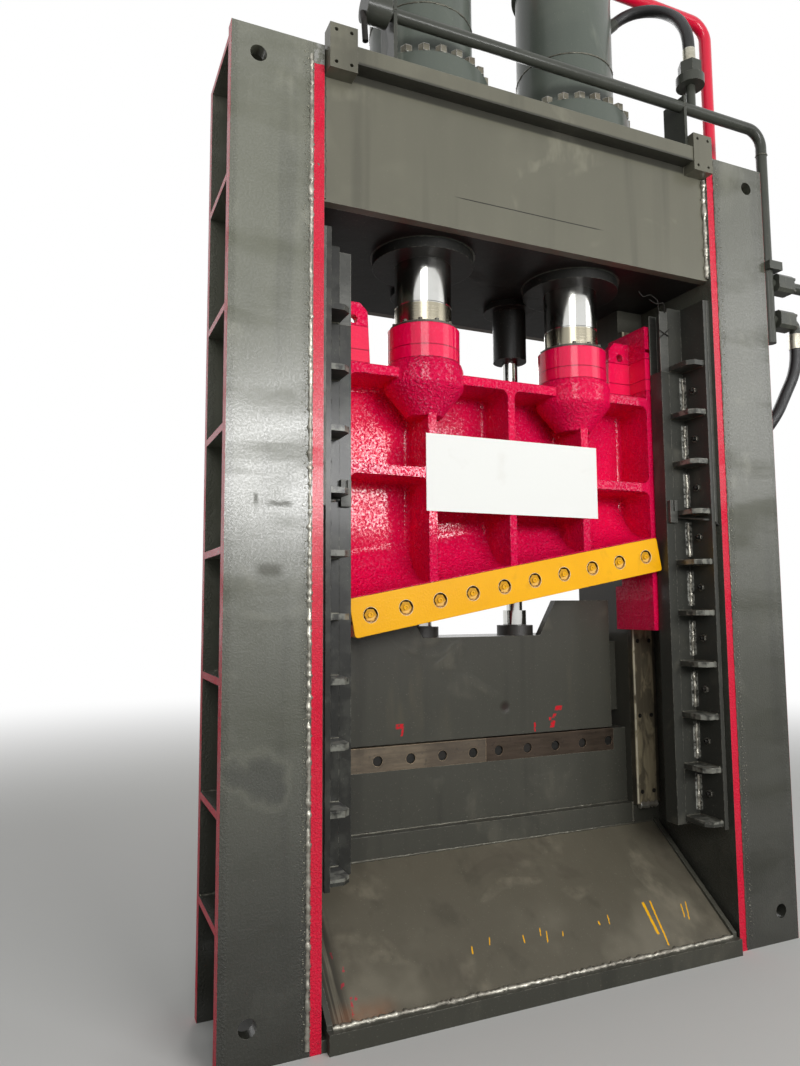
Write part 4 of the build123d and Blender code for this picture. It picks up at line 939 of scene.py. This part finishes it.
spatterSizes = {"spacing": 0.009, "reach": 0.018, "drop": 0.0028, "smallest": 0.35,
                "seed": 7, "throwSeed": 11, "dropSeed": 23}
spatterLines = [(1, [(-0.982, -0.0004, 0.05), (-0.982, -0.0004, 3.46)]),
                (1, [(0.982, -0.0004, 0.05), (0.982, -0.0004, 3.46)]),
                (1, [(-0.82, -0.002, 0.055), (0.82, -0.002, 0.055)])]
spatterRecipe(spatterSizes, finishes["paintedWeld"]).make(
    "weldSpatter", lines("spatterLines", spatterLines), spatterSizes, "frame")

rimSizes = {"radius": 0.0308, "bead": 0.0013, "behindFace": 0.0005, "steps": 28}
boltPlaces = [(x, barBolts["face"], barBolts["height"] + barBolts["slope"] * x)
              for x in (barBolts["first"] + barBolts["step"] * index
                        for index in range(barBolts["count"]))]


def rimLines(sizes):
    # A pale ring round each hole of the yellow bar: a painted highlight standing for the lit wall
    # of the hole.
    turns = [2 * math.pi * step / sizes["steps"] for step in range(sizes["steps"])]
    return [(sizes["bead"], [(x + sizes["radius"] * math.cos(turn), y + sizes["behindFace"],
                              z + sizes["radius"] * math.sin(turn)) for turn in turns], True)
            for x, y, z in boltPlaces]


rimRecipe = beadRecipe("boltRims", finishes["rimPaint"])
rimRecipe.make("boltRims", lines("rimLines", rimLines(rimSizes)), beadSizes["tubes"], "slide")

# Radius and line of the tube at the front pipe's end, four wires and the tube of an oiler.
smallTubes = [
    (0.012, [(-0.765, 0.012, 3.690), (-0.768, -0.012, 3.640), (-0.762, -0.010, 3.560)]),
    (0.0022, [(0.752, 0.157, 2.712), (0.806, 0.157, 2.690), (0.806, 0.160, 2.690)]),
    (0.0022, [(0.752, 0.157, 2.676), (0.808, 0.156, 2.722)]),
    (0.0022, [(0.755, 0.160, 2.790), (0.740, 0.150, 2.850), (0.700, 0.150, 2.870),
              (0.660, 0.155, 2.855), (0.640, 0.160, 2.880)]),
    (0.0022, [(0.790, 0.160, 2.800), (0.770, 0.145, 2.840), (0.730, 0.150, 2.830),
              (0.700, 0.160, 2.850)]),
    (0.0040, [(0.884, 0.040, 1.824), (0.904, 0.020, 1.812), (0.916, 0.014, 1.800)]),
]
tubeRecipe = beadRecipe("smallTubes", finishes["darkIron"])
tubeRecipe.make("smallTubes", lines("tubeLines", smallTubes), beadSizes["tubes"], "frame")
print("welds and small tubes made")


# Screws

def screwRecipe(name, sizes, material):
    # A head with a key socket, turned the way that its point says.
    r = Recipe(name, sizes)
    body = r.add("MeshCylinder", {"fill_type": "NGON"},
                 {"Vertices": r.size("sides"), "Radius": 1.0, "Depth": r.size("height")})
    cap = Wire(r, body.socket.node.outputs["Top"])
    up = r.add("ShaderNodeCombineXYZ", {}, {"Z": r.size("height") * 0.5})
    body = r.add("SetPosition", {}, {"Geometry": body, "Offset": up})
    rim = r.add("ExtrudeMesh", {"mode": "FACES"},
                {"Mesh": body, "Selection": cap, "Offset Scale": 0.0})
    lid = Wire(r, rim.socket.node.outputs["Top"])
    rim = r.add("ScaleElements", {"domain": "FACE"},
                {"Geometry": rim, "Selection": lid, "Scale": r.size("socket")})
    sunk = r.add("ExtrudeMesh", {"mode": "FACES"},
                 {"Mesh": rim, "Selection": lid, "Offset Scale": -0.5 * r.size("height")})
    turn = r.add("FunctionNodeAlignRotationToVector", {"axis": "Z"},
                 {"Vector": r.attribute("facing", "FLOAT_VECTOR")})
    heads = r.add("InstanceOnPoints", {}, {"Points": r.start, "Instance": sunk,
                                           "Rotation": turn, "Scale": r.attribute("size")})
    r.close(heads, material)
    return r


screwSizes = {
    # height and socket are shares of the head's radius
    "setScrew": {"sides": 12, "height": 2.7, "socket": 0.55},
    "lockNut": {"sides": 6, "height": 0.55, "socket": 0.7},
    "flatScrew": {"sides": 14, "height": 0.25, "socket": 0.5},
    "barKnob": {"sides": 14, "height": 0.34, "socket": 0.45},
}
screwRows = {
    "depth": 0.095,              # on the brackets' side legs, one in each bay
    "linerFace": 0.4398,
    "linerColumns": (0.802, 0.871),
    "linerFirst": 0.575,
    "linerStep": 0.352,
    "linerCount": 7,
    "knobFace": 0.203,
    "radii": {"setScrew": 0.009, "lockNut": 0.016, "flatScrew": 0.010, "barKnob": 0.011},
}


def screwPlaces(rows):
    # Each kind's screws: place, the way it faces and radius.
    radii = rows["radii"]
    bays = [(low + high + gussetGrid["thick"]) / 2 for low, high in zip(gussets, gussets[1:])]
    levels = [rows["linerFirst"] + rows["linerStep"] * row for row in range(rows["linerCount"])]
    legs = [((side * bracket["sideLeg"], rows["depth"], z), (-side, 0, 0))
            for side in (-1, 1) for z in bays]
    return {
        "setScrew": [(*spot, radii["setScrew"]) for spot in legs],
        "lockNut": [(*spot, radii["lockNut"]) for spot in legs],
        "flatScrew": [((side * x, rows["linerFace"], z), (0, -1, 0), radii["flatScrew"])
                      for side in (-1, 1) for x in rows["linerColumns"] for z in levels],
        "barKnob": [((x, rows["knobFace"], z), (0, -1, 0), radii["barKnob"])
                    for x, y, z in boltPlaces],
    }


screws = screwPlaces(screwRows)
for kind, finish, body in (("setScrew", "darkIron", "frame"), ("lockNut", "boltSteel", "frame"),
                           ("flatScrew", "darkIron", "frame"), ("barKnob", "bar", "slide")):
    recipe = screwRecipe(kind + "Recipe", screwSizes[kind], finishes[finish])
    points = facingPoints(kind + "Places", screws[kind])
    recipe.make(kind + "s", points, screwSizes[kind], body)
print("screws placed")


# Floor, lamps and background

studio = {
    "floorSize": 60.0,
    "floorColours": ((206, 206, 203), (194, 194, 191)),  # plain and clouded, for the camera
    "floorBounce": (158, 157, 154),                      # for all other rays
    "floorFade": (3.5, 11.0),      # the floor turns white between these distances
    "ambient": 0.26,
    "key": {"place": (-2.6, -5.6, 4.4), "size": (2.6, 2.6), "power": 95},
    "window": {"place": (1.1, -5.3, 2.95), "size": (3.2, 1.2), "power": 215},
    "fill": {"place": (6.0, -5.0, 4.2), "size": (3.0, 3.0), "power": 50},
    "back": {"place": (2.0, 7.0, 6.0), "size": (4.0, 4.0), "power": 180},
    "aim": (0, 0.3, 2.2),
}


def setStudio(sizes):
    half = sizes["floorSize"] / 2
    mesh = bpy.data.meshes.new("floor")
    mesh.from_pydata([(-half, -half, 0), (half, -half, 0), (half, half, 0), (-half, half, 0)],
                     [], [(0, 1, 2, 3)])
    floor = bpy.data.objects.new("floor", mesh)
    scene.collection.objects.link(floor)
    f = Finish("paleFloor")
    distance = f.vector("LENGTH", f.place, (0, 0, 0), "Value")
    cloud = f.noise(0.8, 4)
    seen = f.add("LightPath", out="Is Camera Ray")
    plain, clouded = sizes["floorColours"]
    colour = f.mix(cloud * 0.3, paint(*plain), paint(*clouded))
    colour = f.mix(seen, paint(*sizes["floorBounce"]), colour)
    matt = f.add("BsdfPrincipled", {}, {"Base Color": colour, "Roughness": 0.75})
    white = f.add("Emission", {}, {"Color": (1, 1, 1, 1), "Strength": 1.0})
    bright = f.fade(distance, *sizes["floorFade"]) * seen
    far = f.add("MixShader", {}, {0: bright, 1: matt, 2: white})
    f.add("OutputMaterial", {}, {"Surface": far})
    mesh.materials.append(f.material)
    for name in ("key", "window", "fill", "back"):
        lamp = sizes[name]
        data = bpy.data.lights.new(name, "AREA")
        data.energy = lamp["power"]
        data.shape = "RECTANGLE"
        data.size, data.size_y = lamp["size"]
        light = bpy.data.objects.new(name, data)
        scene.collection.objects.link(light)
        place = Vector(lamp["place"])
        toward = Vector(sizes["aim"]) - place
        light.matrix_world = (Matrix.Translation(place)
                              @ toward.to_track_quat("-Z", "Y").to_matrix().to_4x4())
    world = bpy.data.worlds.new("studio")
    scene.world = world
    world.use_nodes = True
    world.node_tree.nodes.clear()
    w = Tree(world.node_tree, "ShaderNode")
    rays = w.add("LightPath", out="Is Camera Ray").socket.node.outputs
    seen = Wire(w, rays["Is Camera Ray"]).highest(Wire(w, rays["Is Glossy Ray"]))
    seen = seen.highest(Wire(w, rays["Is Transmission Ray"]))
    strength = sizes["ambient"] + (1 - sizes["ambient"]) * seen
    sky = w.add("Background", {}, {"Color": (1, 1, 1, 1), "Strength": strength})
    w.add("OutputWorld", {}, {"Surface": sky})
    scene.view_settings.view_transform = "Standard"


setStudio(studio)
print("studio set")
